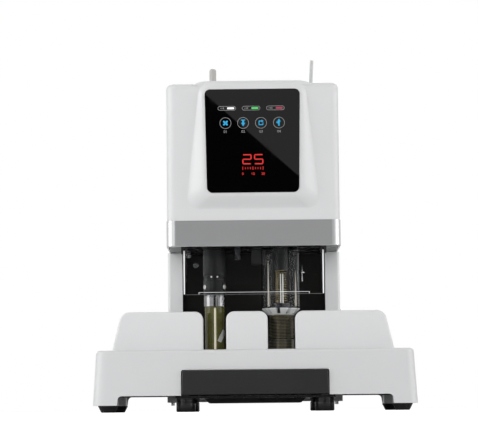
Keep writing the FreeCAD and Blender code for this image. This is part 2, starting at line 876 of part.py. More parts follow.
def head_cover():
    hull = rounded_block(-head_half, head_half, head_front, body_back + 2 * head_corner,
                         shell_bottom, head_top, head_corner)
    hull = filleted(hull, head_edge, lambda p: p.z > head_top - near)
    root_y = head_front + bulge_root
    back_ring = bulge_ring(root_y, root_y, bulge_low_half, bulge_high_half,
                           bulge_bottom, bulge_top, bulge_corner)
    front_ring = bulge_ring(bulge_low_front, bulge_high_front, bulge_low_half - bulge_taper,
                            bulge_high_half - bulge_taper, bulge_bottom + bulge_lip,
                            bulge_top - bulge_brow, bulge_face_corner)
    bulge = Part.makeLoft([back_ring, front_ring], True, True)
    crown = prism_x([(root_y, head_top - crown_root), (root_y, bulge_top),
                     (head_front + crown_flat, bulge_top), (head_front + crown_length, head_top - crown_root)],
                    -bulge_high_half + bulge_corner, bulge_high_half - bulge_corner)
    cover = fused(hull, bulge, crown)
    hollow = rounded_block(-head_inner, head_inner, head_front + shell, body_back + far,
                           shell_bottom - reach, head_top - shell, head_corner - shell)
    cuts = [hollow,
            panel_solid(panel_play, panel_thick, panel_proud),
            tube_solid(tube_hole_r, head_top - 2 * shell, head_top + 2 * shell),
            post(rod_x, rod_y, head_top - 2 * shell, head_top + 2 * shell, knob_r + loose),
            block(-head_half - reach, head_half + reach, body_back, body_back + far,
                  shell_bottom - reach, head_top + reach)]
    save("head_cover", cut_all(cover, cuts))
    save("panel_glass", panel_solid(0, panel_thick, panel_proud))


def head_band():
    outer = rounded_block(-band_half, band_half, head_front - band_proud, body_back + 2 * head_corner,
                          head_bottom, shell_bottom, head_corner + band_proud)
    outer = filleted(outer, band_edge, lambda p: p.z < head_bottom + near)
    hollow = rounded_block(-band_half + band_wall, band_half - band_wall, head_front - band_proud + band_wall,
                           body_back + far, head_bottom - reach, shell_bottom + reach,
                           head_corner + band_proud - band_wall)
    behind = block(-band_half - reach, band_half + reach, body_back, body_back + far,
                   head_bottom - reach, shell_bottom + reach)
    save("head_band", outer.cut(hollow).cut(behind))


# ---- loose accessories that stand in the top of the head ----

accessory_y = lift_y + 40.0
rod_x = -56.3
rod_y = accessory_y
rod_wire_r = 2.0
knob_r = 4.9
knob_bottom = head_top + 4.0
knob_top = head_top + 54.0
tube_lean = 3.0
tube_at_top_x = 84.6
tube_r = 2.45
tube_bore = 1.8
tube_hole_r = 4.2
tube_top = head_top + 65.0
socket_wall = 1.8
socket_floor = 7.0
socket_top = head_top - 14.0
socket_foot_r = 9.0
socket_foot_height = 2.5
knob_round = 3.5
rod_bottom = floor_top + socket_floor + gap


def tube_solid(r, z0, z1):
    """A cylinder along the leaning line of the rivet tube."""
    lean = math.radians(tube_lean)
    start = V(tube_at_top_x - (head_top - z0) * math.tan(lean), accessory_y, z0)
    length = (z1 - z0) / math.cos(lean)
    return Part.makeCylinder(r, length, start, V(math.sin(lean), 0, math.cos(lean)))


def accessories():
    tube_body = tube_solid(tube_r, floor_top + socket_floor + loose, tube_top)
    save("nylon_tube", tube_body.cut(tube_solid(tube_bore, floor_top, tube_top + far)))
    knob = post(rod_x, rod_y, knob_bottom, knob_top, knob_r)
    knob = filleted(knob, knob_round, lambda p: p.z > knob_top - near)
    save("clearing_rod", fused(post(rod_x, rod_y, rod_bottom, knob_bottom + loose, rod_wire_r), knob))
    tube_socket = tube_solid(tube_r + gap + socket_wall, floor_top + loose, socket_top)
    tube_socket = tube_socket.cut(tube_solid(tube_r + gap, floor_top + socket_floor, head_top))
    rod_socket = post(rod_x, rod_y, floor_top, socket_top, rod_wire_r + gap + socket_wall)
    rod_socket = rod_socket.cut(post(rod_x, rod_y, rod_bottom - gap, head_top, rod_wire_r + gap))
    foot = post(tube_at_top_x - (head_top - floor_top) * math.tan(math.radians(tube_lean)), accessory_y,
                floor_top, floor_top + socket_foot_height, socket_foot_r)
    save("accessory_sockets", fused(tube_socket, foot), rod_socket)


# ---- guard ----

hinge_y = station_y - shield_r - 6.5
hinge_drop = 5.0
hinge_z = head_bottom - hinge_drop
pin_r = 1.5
hinge_half = 4.0
yoke_wall = 3.0
guard_front = hinge_y - 3.0
guard_top = head_bottom - 2.0
guard_bottom = head_bottom - guard_drop
lip_half = 75.0
lip_height = 3.8
lip_depth = 3.5
guard_chamfer = 22.0
guard_notch = 7.0  # cut-away round each hinge block


def guard_side(x0, x1):
    """A side wall whose lower rear corner is cut off, so that it swings clear of the fence."""
    back = guard_front + guard_depth
    return prism_x([(guard_front, guard_bottom), (back - guard_chamfer, guard_bottom),
                    (back, guard_bottom + guard_chamfer), (back, guard_top), (guard_front, guard_top)], x0, x1)


def guard():
    front = block(-guard_half, guard_half, guard_front, guard_front + guard_wall, guard_bottom, guard_top)
    notch = mirrored(guard_half - guard_notch, guard_half + reach, guard_front - reach,
                     guard_front + guard_wall + reach, hinge_z - guard_notch, guard_top + reach)
    front = cut_all(front, notch)
    sides = [guard_side(guard_half - guard_wall, guard_half), guard_side(-guard_half, guard_wall - guard_half)]
    relief = mirrored(guard_half - guard_wall - reach, guard_half + reach, guard_front - reach,
                      guard_front + guard_wall / 2, hinge_z - guard_notch, guard_top + reach)
    lip_bottom = guard_bottom - loose
    lip = block(-lip_half, lip_half, guard_front - lip_depth, guard_front + guard_wall / 2, lip_bottom,
                lip_bottom + lip_height)
    body = cut_all(fused(front, lip, *sides), relief)
    bore_start = V(-guard_half - reach, hinge_y, hinge_z)
    bore = Part.makeCylinder(pin_r + run, 2 * (guard_half + reach), bore_start, X_AXIS)
    save("guard", body.cut(bore))


def guard_hinges():
    pieces = []
    for side in (-1, 1):
        outer = guard_half + yoke_wall
        inner = guard_half - guard_wall - yoke_wall
        x0, x1 = sorted([side * inner, side * outer])
        yoke = block(x0, x1, hinge_y - hinge_half, hinge_y + hinge_half, hinge_z - hinge_half, floor_bottom)
        s0, s1 = sorted([side * (guard_half - guard_wall - gap), side * (guard_half + gap)])
        yoke = yoke.cut(block(s0, s1, hinge_y - 2 * hinge_half, hinge_y + 2 * hinge_half,
                              hinge_z - 2 * hinge_half, floor_bottom - loose))
        pin = Part.makeCylinder(pin_r, x1 - x0, V(x0, hinge_y, hinge_z), X_AXIS)
        pieces.append(fused(yoke, pin))
    save("guard_hinges", *pieces)


# ---- small modules under the head ----

pointer_x = -22.0
pointer_y = -85.0
pointer_r = 4.5
pointer_bore = 1.5
pointer_length = 16.0
sensor_x = 6.0
sensor_y = -28.0
sensor_width = 18.0
sensor_depth = 20.0
sensor_height = 19.0
sensor_edge = 1.5


def pointer_modules():
    save("laser_pointer", tube(pointer_x, pointer_y, floor_bottom - pointer_length, floor_bottom,
                               pointer_r, pointer_bore))
    sensor = block(sensor_x - sensor_width / 2, sensor_x + sensor_width / 2, sensor_y - sensor_depth / 2,
                   sensor_y + sensor_depth / 2, floor_bottom - sensor_height, floor_bottom)
    save("sensor_box", filleted(sensor, sensor_edge, lambda p: p.z < floor_bottom - sensor_height + near))


# ---- electrics ----

board_half = 58.0
board_low = shell_bottom + 42.0
board_high = shell_bottom + 165.0
board_thick = 1.6
standoff = 1.8
standoff_r = 2.5
standoff_inset = 6.0
driver_half = 70.0
driver_low = head_bottom + 30.0
driver_high = head_bottom + 90.0
driver_standoff = 6.0


def circuit_boards():
    y = head_front + shell + standoff
    front = [block(-board_half, board_half, y, y + board_thick, board_low, board_high)]
    driver_y = rear_inner - gap - driver_standoff
    rear = [block(-driver_half, driver_half, driver_y - board_thick, driver_y, driver_low, driver_high)]
    for side in (-1, 1):
        x = side * (board_half - standoff_inset)
        for z in (board_low + standoff_inset, board_high - standoff_inset):
            front.append(Part.makeCylinder(standoff_r, standoff, V(x, y - standoff, z), Y_AXIS))
        x = side * (driver_half - standoff_inset)
        for z in (driver_low + standoff_inset, driver_high - standoff_inset):
            rear.append(Part.makeCylinder(standoff_r, driver_standoff, V(x, driver_y, z), Y_AXIS))
    save("circuit_boards", fused(*front), fused(*rear))


supply_x = (-95.0, 45.0)
supply_depth = 72.0
supply_height = 80.0
inlet_depth = 24.0
inlet_flange = 3.0
mouth_half = 9.0
mouth_depth = 14.0
blade_half_x = 1.0
blade_half_z = 2.0
blade_places = ((-5.0, -2.0), (5.0, -2.0), (0.0, 4.0))


def power_supply():
    back = frame_back - 2 * loose
    save("power_supply", block(*supply_x, back - supply_depth, back, plate_top, plate_top + supply_height))


def power_inlet():
    socket = block(inlet_x - inlet_half_x + gap, inlet_x + inlet_half_x - gap,
                   rear_inner - inlet_depth, body_back,
                   inlet_z - inlet_half_z + gap, inlet_z + inlet_half_z - gap)
    flange = block(inlet_x - inlet_half_x - inlet_flange, inlet_x + inlet_half_x + inlet_flange,
                   body_back - gap, body_back + face_proud,
                   inlet_z - inlet_half_z - inlet_flange, inlet_z + inlet_half_z + inlet_flange)
    mouth = block(inlet_x - mouth_half, inlet_x + mouth_half, body_back - mouth_depth,
                  body_back + 2 * face_proud, inlet_z - mouth_half, inlet_z + mouth_half)
    blades = []
    for dx, dz in blade_places:
        x = inlet_x + dx
        z = inlet_z + dz
        blades.append(block(x - blade_half_x, x + blade_half_x, body_back - mouth_depth - reach,
                            body_back - face_proud, z - blade_half_z, z + blade_half_z))
    save("power_inlet", fused(fused(socket, flange).cut(mouth), *blades))


rocker_turn = 8.0  # the switch is off: the upper edge stands out
rocker_half_y = 10.0
rocker_half_z = 12.0
rocker_rim = 4.6
rocker_dip = 3.4
rocker_heel = 4.0
rocker_heel_half = 5.0
rocker_play = 0.6
rocker_pin_r = 1.5
rocker_pin_play = 0.2
rocker_pin_grip = 1.5
switch_depth = 24.0
well_depth = 12.0
switch_flange = 1.5
switch_lap = 2.0


def power_switch():
    body = block(column_half - switch_depth, column_half,
                 switch_y - switch_half_y + gap, switch_y + switch_half_y - gap,
                 switch_z - switch_half_z + gap, switch_z + switch_half_z - gap)
    flange = block(column_half, column_half + switch_flange,
                   switch_y - switch_half_y - switch_lap, switch_y + switch_half_y + switch_lap,
                   switch_z - switch_half_z - switch_lap, switch_z + switch_half_z + switch_lap)
    well = block(column_half - well_depth, column_half + 2 * switch_flange,
                 switch_y - rocker_half_y - gap, switch_y + rocker_half_y + gap,
                 switch_z - rocker_half_z - rocker_play, switch_z + rocker_half_z + rocker_play)
    pivot_x = column_half - shell
    pin_half = rocker_half_y + gap + rocker_pin_grip
    pin_start = V(pivot_x, switch_y - pin_half, switch_z)
    pin_hole = Part.makeCylinder(rocker_pin_r + rocker_pin_play, 2 * pin_half, pin_start, Y_AXIS)
    save("switch_body", cut_all(fused(body, flange), [well, pin_hole]))
    rim_x = pivot_x + rocker_rim
    heel_x = pivot_x - rocker_heel
    rocker = prism_y([(heel_x, switch_z - rocker_heel_half), (rim_x, switch_z - rocker_half_z),
                      (pivot_x + rocker_dip, switch_z), (rim_x, switch_z + rocker_half_z),
                      (heel_x, switch_z + rocker_heel_half)],
                     switch_y - rocker_half_y, switch_y + rocker_half_y)
    rocker.rotate(V(pivot_x, switch_y, switch_z), Y_AXIS, rocker_turn)
    pin = Part.makeCylinder(rocker_pin_r, 2 * (pin_half - rocker_pin_play),
                            V(pivot_x, pin_start.y + rocker_pin_play, switch_z), Y_AXIS)
    save("switch_rocker", fused(rocker, pin))


def main():
    os.makedirs("parts", exist_ok=True)
    base_cover()
    base_plate()
    under_parts()
    feet()
    drawer()
    drawer_runners()
    side_frames()
    anvil_beam()
    top_plate()
    head_floor()
    guide_rods()
    lift_motors()
    for station in stations:
        lead_screw(station)
    drill_carriage()
    spindle_housing()
    drill_sleeve()
    spindle()
    chuck_and_bit()
    press_sleeve()
    drill_motor()
    drive_belt()
    rivet_carriage()
    heated_punch()
    shield_parts()
    rivet_collar()
    press_foot()
    drill_pad()
    rivet_anvil()
    fence()
    fence_carrier()
    column_cover()
    throat_liner()
    rear_cover()
    head_cover()
    head_band()
    accessories()
    guard()
    guard_hinges()
    pointer_modules()
    circuit_boards()
    power_supply()
    power_inlet()
    power_switch()


main()
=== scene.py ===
import math
import bmesh
import bpy
from mathutils import Matrix, Vector


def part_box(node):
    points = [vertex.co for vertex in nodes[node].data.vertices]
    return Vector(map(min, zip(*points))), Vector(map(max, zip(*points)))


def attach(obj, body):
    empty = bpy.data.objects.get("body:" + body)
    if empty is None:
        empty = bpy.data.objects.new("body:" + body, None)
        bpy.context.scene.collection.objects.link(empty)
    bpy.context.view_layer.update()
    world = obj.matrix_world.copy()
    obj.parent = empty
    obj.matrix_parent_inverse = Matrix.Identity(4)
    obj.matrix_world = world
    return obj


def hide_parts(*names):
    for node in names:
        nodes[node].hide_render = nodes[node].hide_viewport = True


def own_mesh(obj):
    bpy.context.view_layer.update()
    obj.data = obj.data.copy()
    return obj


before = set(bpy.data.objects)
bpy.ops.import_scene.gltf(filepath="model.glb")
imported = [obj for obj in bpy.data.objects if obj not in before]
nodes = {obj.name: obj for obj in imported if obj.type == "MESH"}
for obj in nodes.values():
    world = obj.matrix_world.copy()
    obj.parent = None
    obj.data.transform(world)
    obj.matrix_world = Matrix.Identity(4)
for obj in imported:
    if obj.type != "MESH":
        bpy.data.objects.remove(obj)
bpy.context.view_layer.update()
mm = 0.001  # lengths are in millimetres, apart from those noted in metres
hair = 0.01  # how near to a place a corner has to be to be picked by it
past = 5.0  # how far a cutter runs past what it cuts
weld = 1e-6  # metres, how near corners are that are merged
print("frame loaded:", len(nodes), "nodes")


def boxOf(node):  # both corners of a CAD node
    return [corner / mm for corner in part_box(node)]


def axisOf(node):  # where an upright CAD node stands
    low, high = boxOf(node)
    return round((low.x + high.x) / 2, 1), round((low.y + high.y) / 2, 1)


drillAxis = axisOf("spindle_housing")
rivetAxis = axisOf("heated_punch")


def unselect():
    bpy.ops.object.select_all(action="DESELECT")


def active():
    return bpy.context.view_layer.objects.active


def choose(piece):  # makes one piece the only selected one
    unselect()
    piece.select_set(True)
    bpy.context.view_layer.objects.active = piece


def freeze(piece):  # puts place, turn and size into the mesh
    choose(piece)
    bpy.ops.object.transform_apply(location=True, rotation=True, scale=True)
    return piece


def setAt(piece, place, turn=(0, 0, 0)):  # turns a piece about the origin, then moves it
    piece.rotation_euler = turn
    piece.location = Vector(place) * mm
    return freeze(piece)


def startBox(low, high):
    unselect()
    low, high = Vector(low) * mm, Vector(high) * mm
    bpy.ops.mesh.primitive_cube_add(size=1, location=(low + high) / 2)
    active().scale = high - low
    return freeze(active())


def startRod(centre, radius, depth, sides=48):
    unselect()
    bpy.ops.mesh.primitive_cylinder_add(vertices=sides, radius=radius * mm, depth=depth * mm,
                                        location=Vector(centre) * mm)
    return freeze(active())


def startDisc(centre, radius, sides=48, turn=(0, 0, 0)):
    unselect()
    bpy.ops.mesh.primitive_circle_add(vertices=sides, radius=radius * mm, fill_type="NGON",
                                      location=Vector(centre) * mm, rotation=turn)
    return freeze(active())


def startPlate(centre, width, height):  # a flat plate that faces the front
    unselect()
    bpy.ops.mesh.primitive_plane_add(size=1, location=Vector(centre) * mm, rotation=(math.pi / 2, 0, 0))
    active().scale = (width * mm, height * mm, 1)
    return freeze(active())


def edit(piece, kind="FACE", action="DESELECT"):
    choose(piece)
    bpy.ops.object.mode_set(mode="EDIT")
    bpy.ops.mesh.select_mode(type=kind)
    bpy.ops.mesh.select_all(action=action)


def leave():
    bpy.ops.object.mode_set(mode="OBJECT")


def pickEdges(piece, test):  # test reads the places of both ends
    net = bmesh.from_edit_mesh(piece.data)
    for edge in net.edges:
        edge.select_set(bool(test(edge.verts[0].co / mm, edge.verts[1].co / mm)))
    bmesh.update_edit_mesh(piece.data)


def pickPoints(piece, test):
    net = bmesh.from_edit_mesh(piece.data)
    for point in net.verts:
        point.select_set(bool(test(point.co / mm)))
    net.select_flush_mode()
    bmesh.update_edit_mesh(piece.data)


def bevelEdges(piece, test, width, segments):
    edit(piece, "EDGE")
    pickEdges(piece, test)
    bevelPicked(width, segments)
    leave()


def extrude(y=0, z=0):
    bpy.ops.mesh.extrude_region_move(TRANSFORM_OT_translate={"value": (0, y * mm, z * mm)})


def slide(x=0, y=0, z=0):
    bpy.ops.transform.translate(value=(x * mm, y * mm, z * mm))


def scaleFrom(centre, x=1, y=1, z=1):
    bpy.ops.transform.resize(value=(x, y, z), center_override=Vector(centre) * mm)


def bevelPicked(width, segments, affect="EDGES"):
    bpy.ops.mesh.bevel(offset=width * mm, segments=segments, affect=affect)


def originAt(piece, place):  # moves only the origin, for a modifier that works about it
    choose(piece)
    bpy.context.scene.cursor.location = Vector(place) * mm
    bpy.ops.object.origin_set(type="ORIGIN_CURSOR")
    bpy.context.scene.cursor.location = (0, 0, 0)


def useModifier(piece, kind, **settings):
    choose(piece)
    modifier = piece.modifiers.new(kind.lower(), kind)
    for key, value in settings.items():
        setattr(modifier, key, value)
    bpy.ops.object.modifier_apply(modifier=modifier.name)
    return piece


def rounded(piece, width, segments=3):
    return useModifier(piece, "BEVEL", width=width * mm, segments=segments, limit_method="ANGLE",
                       angle_limit=math.radians(30), harden_normals=False)


def thickened(piece, thick):  # half to each side
    return useModifier(piece, "SOLIDIFY", thickness=thick * mm, offset=0)


def withBoolean(piece, operation, other):
    useModifier(piece, "BOOLEAN", operation=operation, object=other, solver="EXACT")
    discard(other)
    return piece


def carved(piece, cutter):
    return withBoolean(piece, "DIFFERENCE", cutter)


def joined(parts):
    unselect()
    for part in parts:
        part.select_set(True)
    bpy.context.view_layer.objects.active = parts[0]
    if len(parts) > 1:
        bpy.ops.object.join()
    return active()


def placed(piece, place, turn=(0, 0, 0)):  # a copy with its own mesh, made from a piece at the origin
    choose(piece)
    bpy.ops.object.duplicate()
    return setAt(active(), place, turn)


def discard(piece):
    bpy.data.objects.remove(piece)


def tidied(piece):  # merges doubles and turns the faces outwards
    edit(piece, action="SELECT")
    bpy.ops.mesh.remove_doubles(threshold=weld)
    bpy.ops.mesh.normals_make_consistent(inside=False)
    leave()
    return piece


def finished(piece, name, body, skin, replaces=(), angle=35, weighted=False):
    choose(piece)
    bpy.ops.object.shade_smooth_by_angle(angle=math.radians(angle))
    if weighted:  # keeps large flat faces flat beside small round ones
        useModifier(piece, "WEIGHTED_NORMAL", keep_sharp=True, weight=80)
    piece.name = name
    piece.data.name = name
    piece.data.materials.clear()
    piece.data.materials.append(finish[skin])
    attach(piece, body)
    if replaces:
        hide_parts(*replaces)
    return piece


def turned(axis, outline, sides=64):  # outline is a list of (radius, height), from the bottom up
    radius, height = outline[0]
    piece = startDisc((*axis, height), radius, sides)
    edit(piece, action="SELECT")
    for nextRadius, nextHeight in outline[1:]:
        extrude(z=nextHeight - height)
        grow = nextRadius / radius
        scaleFrom((*axis, nextHeight), grow, grow)
        radius, height = nextRadius, nextHeight
    leave()
    return tidied(piece)


def bored(piece, axis, radius, low, high, sides=64):
    return carved(piece, startRod((*axis, (low + high) / 2), radius, high - low, sides))


def turnedTube(axis, outline, bore, sides=64, boreSides=64):  # a turned piece with a bore right through it
    piece = turned(axis, outline, sides)
    return bored(piece, axis, bore, outline[0][1] - past, outline[-1][1] + past, boreSides)


def onCircle(axis, radius, turn):  # a place round an axis, at a turn in degrees
    angle = math.radians(turn)
    return axis[0] + radius * math.cos(angle), axis[1] + radius * math.sin(angle)


def coil(axis, low, high, meanRadius, wireRadius, turns, steps=28, wireSides=8):
    pitch = (high - low - 2 * wireRadius) / turns
    start = (axis[0] + meanRadius, axis[1], low + wireRadius)
    wire = startDisc(start, wireRadius, wireSides, (math.pi / 2, 0, 0))
    originAt(wire, (*axis, low))
    useModifier(wire, "SCREW", axis="Z", angle=2 * math.pi, screw_offset=pitch * mm, iterations=turns,
                steps=steps, render_steps=steps, use_merge_vertices=True, merge_threshold=weld)
    return tidied(freeze(wire))


view = {
    "place": (-9.0, -2676.0, 1.7),
    "pitch": 5.774,  # degrees, as yaw and roll
    "yaw": 0.218,
    "roll": -0.566,
    "lens": 143.6,
    "sensor": 36.0,
    "clip": (0.05, 50.0),  # metres
}


def makeCamera():
    data = bpy.data.cameras.new("camera")
    camera = bpy.data.objects.new("camera", data)
    bpy.context.scene.collection.objects.link(camera)
    data.lens = view["lens"]
    data.sensor_width = view["sensor"]
    data.clip_start, data.clip_end = view["clip"]
    look = Matrix.Rotation(math.radians(view["yaw"]), 4, "Z")
    tilt = Matrix.Rotation(math.radians(90 + view["pitch"]), 4, "X")
    roll = Matrix.Rotation(math.radians(view["roll"]), 4, "Z")
    camera.matrix_world = Matrix.Translation(Vector(view["place"]) * mm) @ look @ tilt @ roll
    bpy.context.scene.camera = camera


lamps = {  # places and sizes in metres
    "softboxLeft": {"place": (-2.1, -0.7, 0.8), "size": (1.4, 1.6), "power": 20},
    "softboxRight": {"place": (2.1, -0.6, 0.8), "size": (1.4, 1.6), "power": 17},
    "softboxTop": {"place": (0.1, -0.5, 2.3), "size": (2.0, 1.4), "power": 3},
    "softboxFront": {"place": (-0.4, -3.3, 0.7), "size": (2.4, 1.2), "power": 38},
    "softboxBack": {"place": (0.4, 2.2, 1.6), "size": (2.2, 1.6), "power": 12},
}
lampAim = Vector((0, 0, 0.22))  # metres


def makeLamps():
    for name, lamp in lamps.items():
        data = bpy.data.lights.new(name, "AREA")
        data.shape = "RECTANGLE"
        data.size, data.size_y = lamp["size"]
        data.energy = lamp["power"]
        holder = bpy.data.objects.new(name, data)
        bpy.context.scene.collection.objects.link(holder)
        holder.location = lamp["place"]
        holder.visible_glossy = holder.visible_transmission = name != "softboxFront"
        holder.rotation_euler = (lampAim - Vector(lamp["place"])).to_track_quat("-Z", "Y").to_euler()


def addNode(tree, kind, sockets=None, **settings):
    node = tree.nodes.new("ShaderNode" + kind)
    for key, value in settings.items():
        setattr(node, key, value)
    for key, value in (sockets or {}).items():
        if isinstance(value, bpy.types.NodeSocket):
            tree.links.new(value, node.inputs[key])
        else:
            node.inputs[key].default_value = value
    return node


def combine(tree, operation, first, second=0.0):
    return addNode(tree, "Math", {0: first, 1: second}, operation=operation).outputs[0]


def blend(tree, factor, first, second):
    return addNode(tree, "Mix", {"Factor": factor, "A": first, "B": second}).outputs[0]


def ramp(tree, value, low, high, toLow=0.0, toHigh=1.0, kind="LINEAR"):
    sockets = {"Value": value, "From Min": low, "From Max": high, "To Min": toLow, "To Max": toHigh}
    return addNode(tree, "MapRange", sockets, interpolation_type=kind).outputs[0]


def noise(tree, place, scale, detail, **more):
    sockets = {"Vector": place, "Scale": scale, "Detail": detail, **more}
    return addNode(tree, "TexNoise", sockets).outputs[0]


def onlyGlow(tree, strength):
    return addNode(tree, "Emission", {"Color": (1, 1, 1, 1), "Strength": strength}).outputs[0]


def beforeMatt(tree, path):  # 1 for light paths that haven't yet met a matt surface
    return combine(tree, "LESS_THAN", path["Diffuse Depth"], 0.5)


room = {
    "ambient": 0.32,  # what the room gives to matt surfaces
    "front": 0.02,  # what gloss sees of the dim room in front
    "sides": 1.5,  # what gloss sees of the pale screens on both sides
    "back": 0.9,  # what gloss sees of the pale backdrop
    "sideRamp": (0.12, 0.32),  # where the side screens begin and are full, by direction from 0 to 1
    "rearRamp": (-0.8, -0.45),
    "backRamp": (0.0, 0.7),  # where the sides pass into the backdrop
}


def makeWorld():
    world = bpy.data.worlds.new("room")
    bpy.context.scene.world = world
    world.use_nodes = True
    tree = world.node_tree
    tree.nodes.clear()
    path = addNode(tree, "LightPath").outputs
    towards = addNode(tree, "TexCoord").outputs["Generated"]
    parts = addNode(tree, "SeparateXYZ", {"Vector": towards}).outputs
    sideways = ramp(tree, combine(tree, "ABSOLUTE", parts["X"]), *room["sideRamp"], kind="SMOOTHSTEP")
    rear = ramp(tree, parts["Y"], *room["rearRamp"], kind="SMOOTHSTEP")
    screens = combine(tree, "MAXIMUM", sideways, rear)
    behind = ramp(tree, parts["Y"], *room["backRamp"], room["sides"], room["back"])
    around = blend(tree, screens, room["front"], behind)
    shiny = combine(tree, "MAXIMUM", path["Is Glossy Ray"], path["Is Transmission Ray"])
    mirrored = combine(tree, "MULTIPLY", shiny, beforeMatt(tree, path))
    soft = blend(tree, mirrored, room["ambient"], around)
    level = blend(tree, path["Is Camera Ray"], soft, 1.0)
    background = addNode(tree, "Background", {"Color": (1, 1, 1, 1), "Strength": level})
    addNode(tree, "OutputWorld", {"Surface": background.outputs[0]})


def makePaper(name, sheet, paint):  # a material that paint builds from nothing, for a sheet of the stage
    paper = bpy.data.materials.new(name)
    paper.use_nodes = True
    tree = paper.node_tree
    tree.nodes.clear()
    addNode(tree, "OutputMaterial", {"Surface": paint(tree)})
    sheet.data.materials.append(paper)


ground = {
    "radius": 6.0,  # metres
    "drop": 0.0002,  # metres below the feet
    "white": 0.86,
    "lift": 0.72,  # what brings the paper up to white where it is seen directly
}


def paintFloor(tree):
    path = addNode(tree, "LightPath").outputs
    matt = addNode(tree, "BsdfDiffuse", {"Color": (ground["white"], ground["white"], ground["white"], 1)})
    seen = combine(tree, "MAXIMUM", path["Is Camera Ray"], path["Is Transmission Ray"])
    shown = combine(tree, "MULTIPLY", seen, beforeMatt(tree, path))
    glow = onlyGlow(tree, combine(tree, "MULTIPLY", shown, ground["lift"]))
    return addNode(tree, "AddShader", {0: matt.outputs[0], 1: glow}).outputs[0]


def makeFloor():
    bpy.ops.mesh.primitive_circle_add(vertices=96, radius=ground["radius"], fill_type="NGON",
                                      location=(0, 0, -ground["drop"]))
    floor = freeze(active())
    floor.name = "floor"
    makePaper("floorPaper", floor, paintFloor)


card = {
    "depth": -2000.0,
    "edge": ((-64.0, 424.0), (64.0, 308.0)),  # where its lower edge shows in the panel, as x and z
    "glassFoot": (-131.0, 286.0),  # y and z of the plane that mirrors it
    "glassSlope": 9 / 152,
    "span": 1.4,  # metres
    "strength": 0.55,
}


def mirrorInPanel(x, z):  # where the camera's ray to a panel point goes on the card's plane
    lean = math.atan(card["glassSlope"])
    footY, footZ = card["glassFoot"]
    point = Vector((x, footY + (z - footZ) * card["glassSlope"], z))
    ray = (point - Vector(view["place"])).normalized()
    normal = Vector((0, -math.cos(lean), math.sin(lean)))
    ray = ray - 2 * ray.dot(normal) * normal
    return (point + ray * (card["depth"] - point.y) / ray.y) * mm


def makeCard():  # a pale card that only gloss sees, for the slanting sheen on the panel
    first, last = (mirrorInPanel(*end) for end in card["edge"])
    run = (last - first).normalized()
    side = Vector((-run.z, 0, run.x))
    bpy.ops.mesh.primitive_plane_add(size=1, location=(0, 0, 0), rotation=(math.pi / 2, 0, 0))
    sheet = freeze(active())
    sheet.scale = (2 * card["span"], 1, card["span"])
    sheet.rotation_euler = (0, -math.atan2(run.z, run.x), 0)
    sheet.location = (first + last) / 2 + side * card["span"] / 2
    freeze(sheet)
    sheet.name = "sheenCard"
    sheet.visible_camera = sheet.visible_diffuse = sheet.visible_shadow = sheet.visible_transmission = False
    makePaper("cardPaper", sheet, lambda tree: onlyGlow(tree, card["strength"]))


unselect()
makeCamera()
makeLamps()
makeWorld()
makeFloor()
makeCard()
bpy.context.scene.view_settings.view_transform = "Standard"
print("stage ready")


def startEffect(name, values, outputs):  # a node group that reads a place and named values
    group = bpy.data.node_groups.new(name, "ShaderNodeTree")
    for label, value in {"Vector": (0.0, 0.0, 0.0), **values}.items():
        kind = "NodeSocketVector" if isinstance(value, tuple) else "NodeSocketFloat"
        group.interface.new_socket(name=label, in_out="INPUT", socket_type=kind).default_value = value
    for label in outputs:
        group.interface.new_socket(name=label, in_out="OUTPUT", socket_type="NodeSocketFloat")
    return group, group.nodes.new("NodeGroupInput").outputs, group.nodes.new("NodeGroupOutput").inputs


def makeMouldGrain():  # the fine spark-eroded grain of moulded covers, and a broad unevenness of tone
    group, given, out = startEffect("mouldGrain", {"Scale": 1600.0}, ("Height", "Tone"))
    fine = noise(group, given["Vector"], given["Scale"], 2.0, Roughness=0.6)
    pits = addNode(group, "TexVoronoi", {"Vector": given["Vector"], "Scale": given["Scale"]})
    group.links.new(blend(group, 0.35, fine, pits.outputs["Distance"]), out["Height"])
    group.links.new(noise(group, given["Vector"], 9.0, 3.0), out["Tone"])


def makeEdgeWear():  # a mask of outside edges, broken up as handling leaves them
    group, given, out = startEffect("edgeWear", {"Radius": 1.0 * mm, "Breakup": 220.0}, ("Mask",))
    bevel = addNode(group, "Bevel", {"Radius": given["Radius"]}, samples=4).outputs[0]
    normal = addNode(group, "NewGeometry").outputs["Normal"]
    alike = addNode(group, "VectorMath", {0: bevel, 1: normal}, operation="DOT_PRODUCT").outputs["Value"]
    edge = ramp(group, alike, 0.995, 0.9)
    broken = ramp(group, noise(group, given["Vector"], given["Breakup"], 4.0), 0.42, 0.62)
    group.links.new(combine(group, "MULTIPLY", edge, broken), out["Mask"])


def makeHandMarks():  # where fingers have dulled a surface
    group, given, out = startEffect("handMarks", {"Scale": 26.0}, ("Mask",))
    smear = noise(group, given["Vector"], given["Scale"], 5.0, Roughness=0.55, Distortion=0.6)
    group.links.new(ramp(group, smear, 0.5, 0.72, kind="SMOOTHSTEP"), out["Mask"])


def makeSettledDust():  # a thin veil on faces that look up
    group, given, out = startEffect("settledDust", {"Amount": 0.2}, ("Mask",))
    normal = addNode(group, "NewGeometry").outputs["Normal"]
    up = ramp(group, addNode(group, "SeparateXYZ", {"Vector": normal}).outputs["Z"], 0.6, 1.0)
    grains = ramp(group, noise(group, given["Vector"], 480.0, 5.0), 0.45, 0.7)
    mask = combine(group, "MULTIPLY", up, grains)
    group.links.new(combine(group, "MULTIPLY", mask, given["Amount"]), out["Mask"])


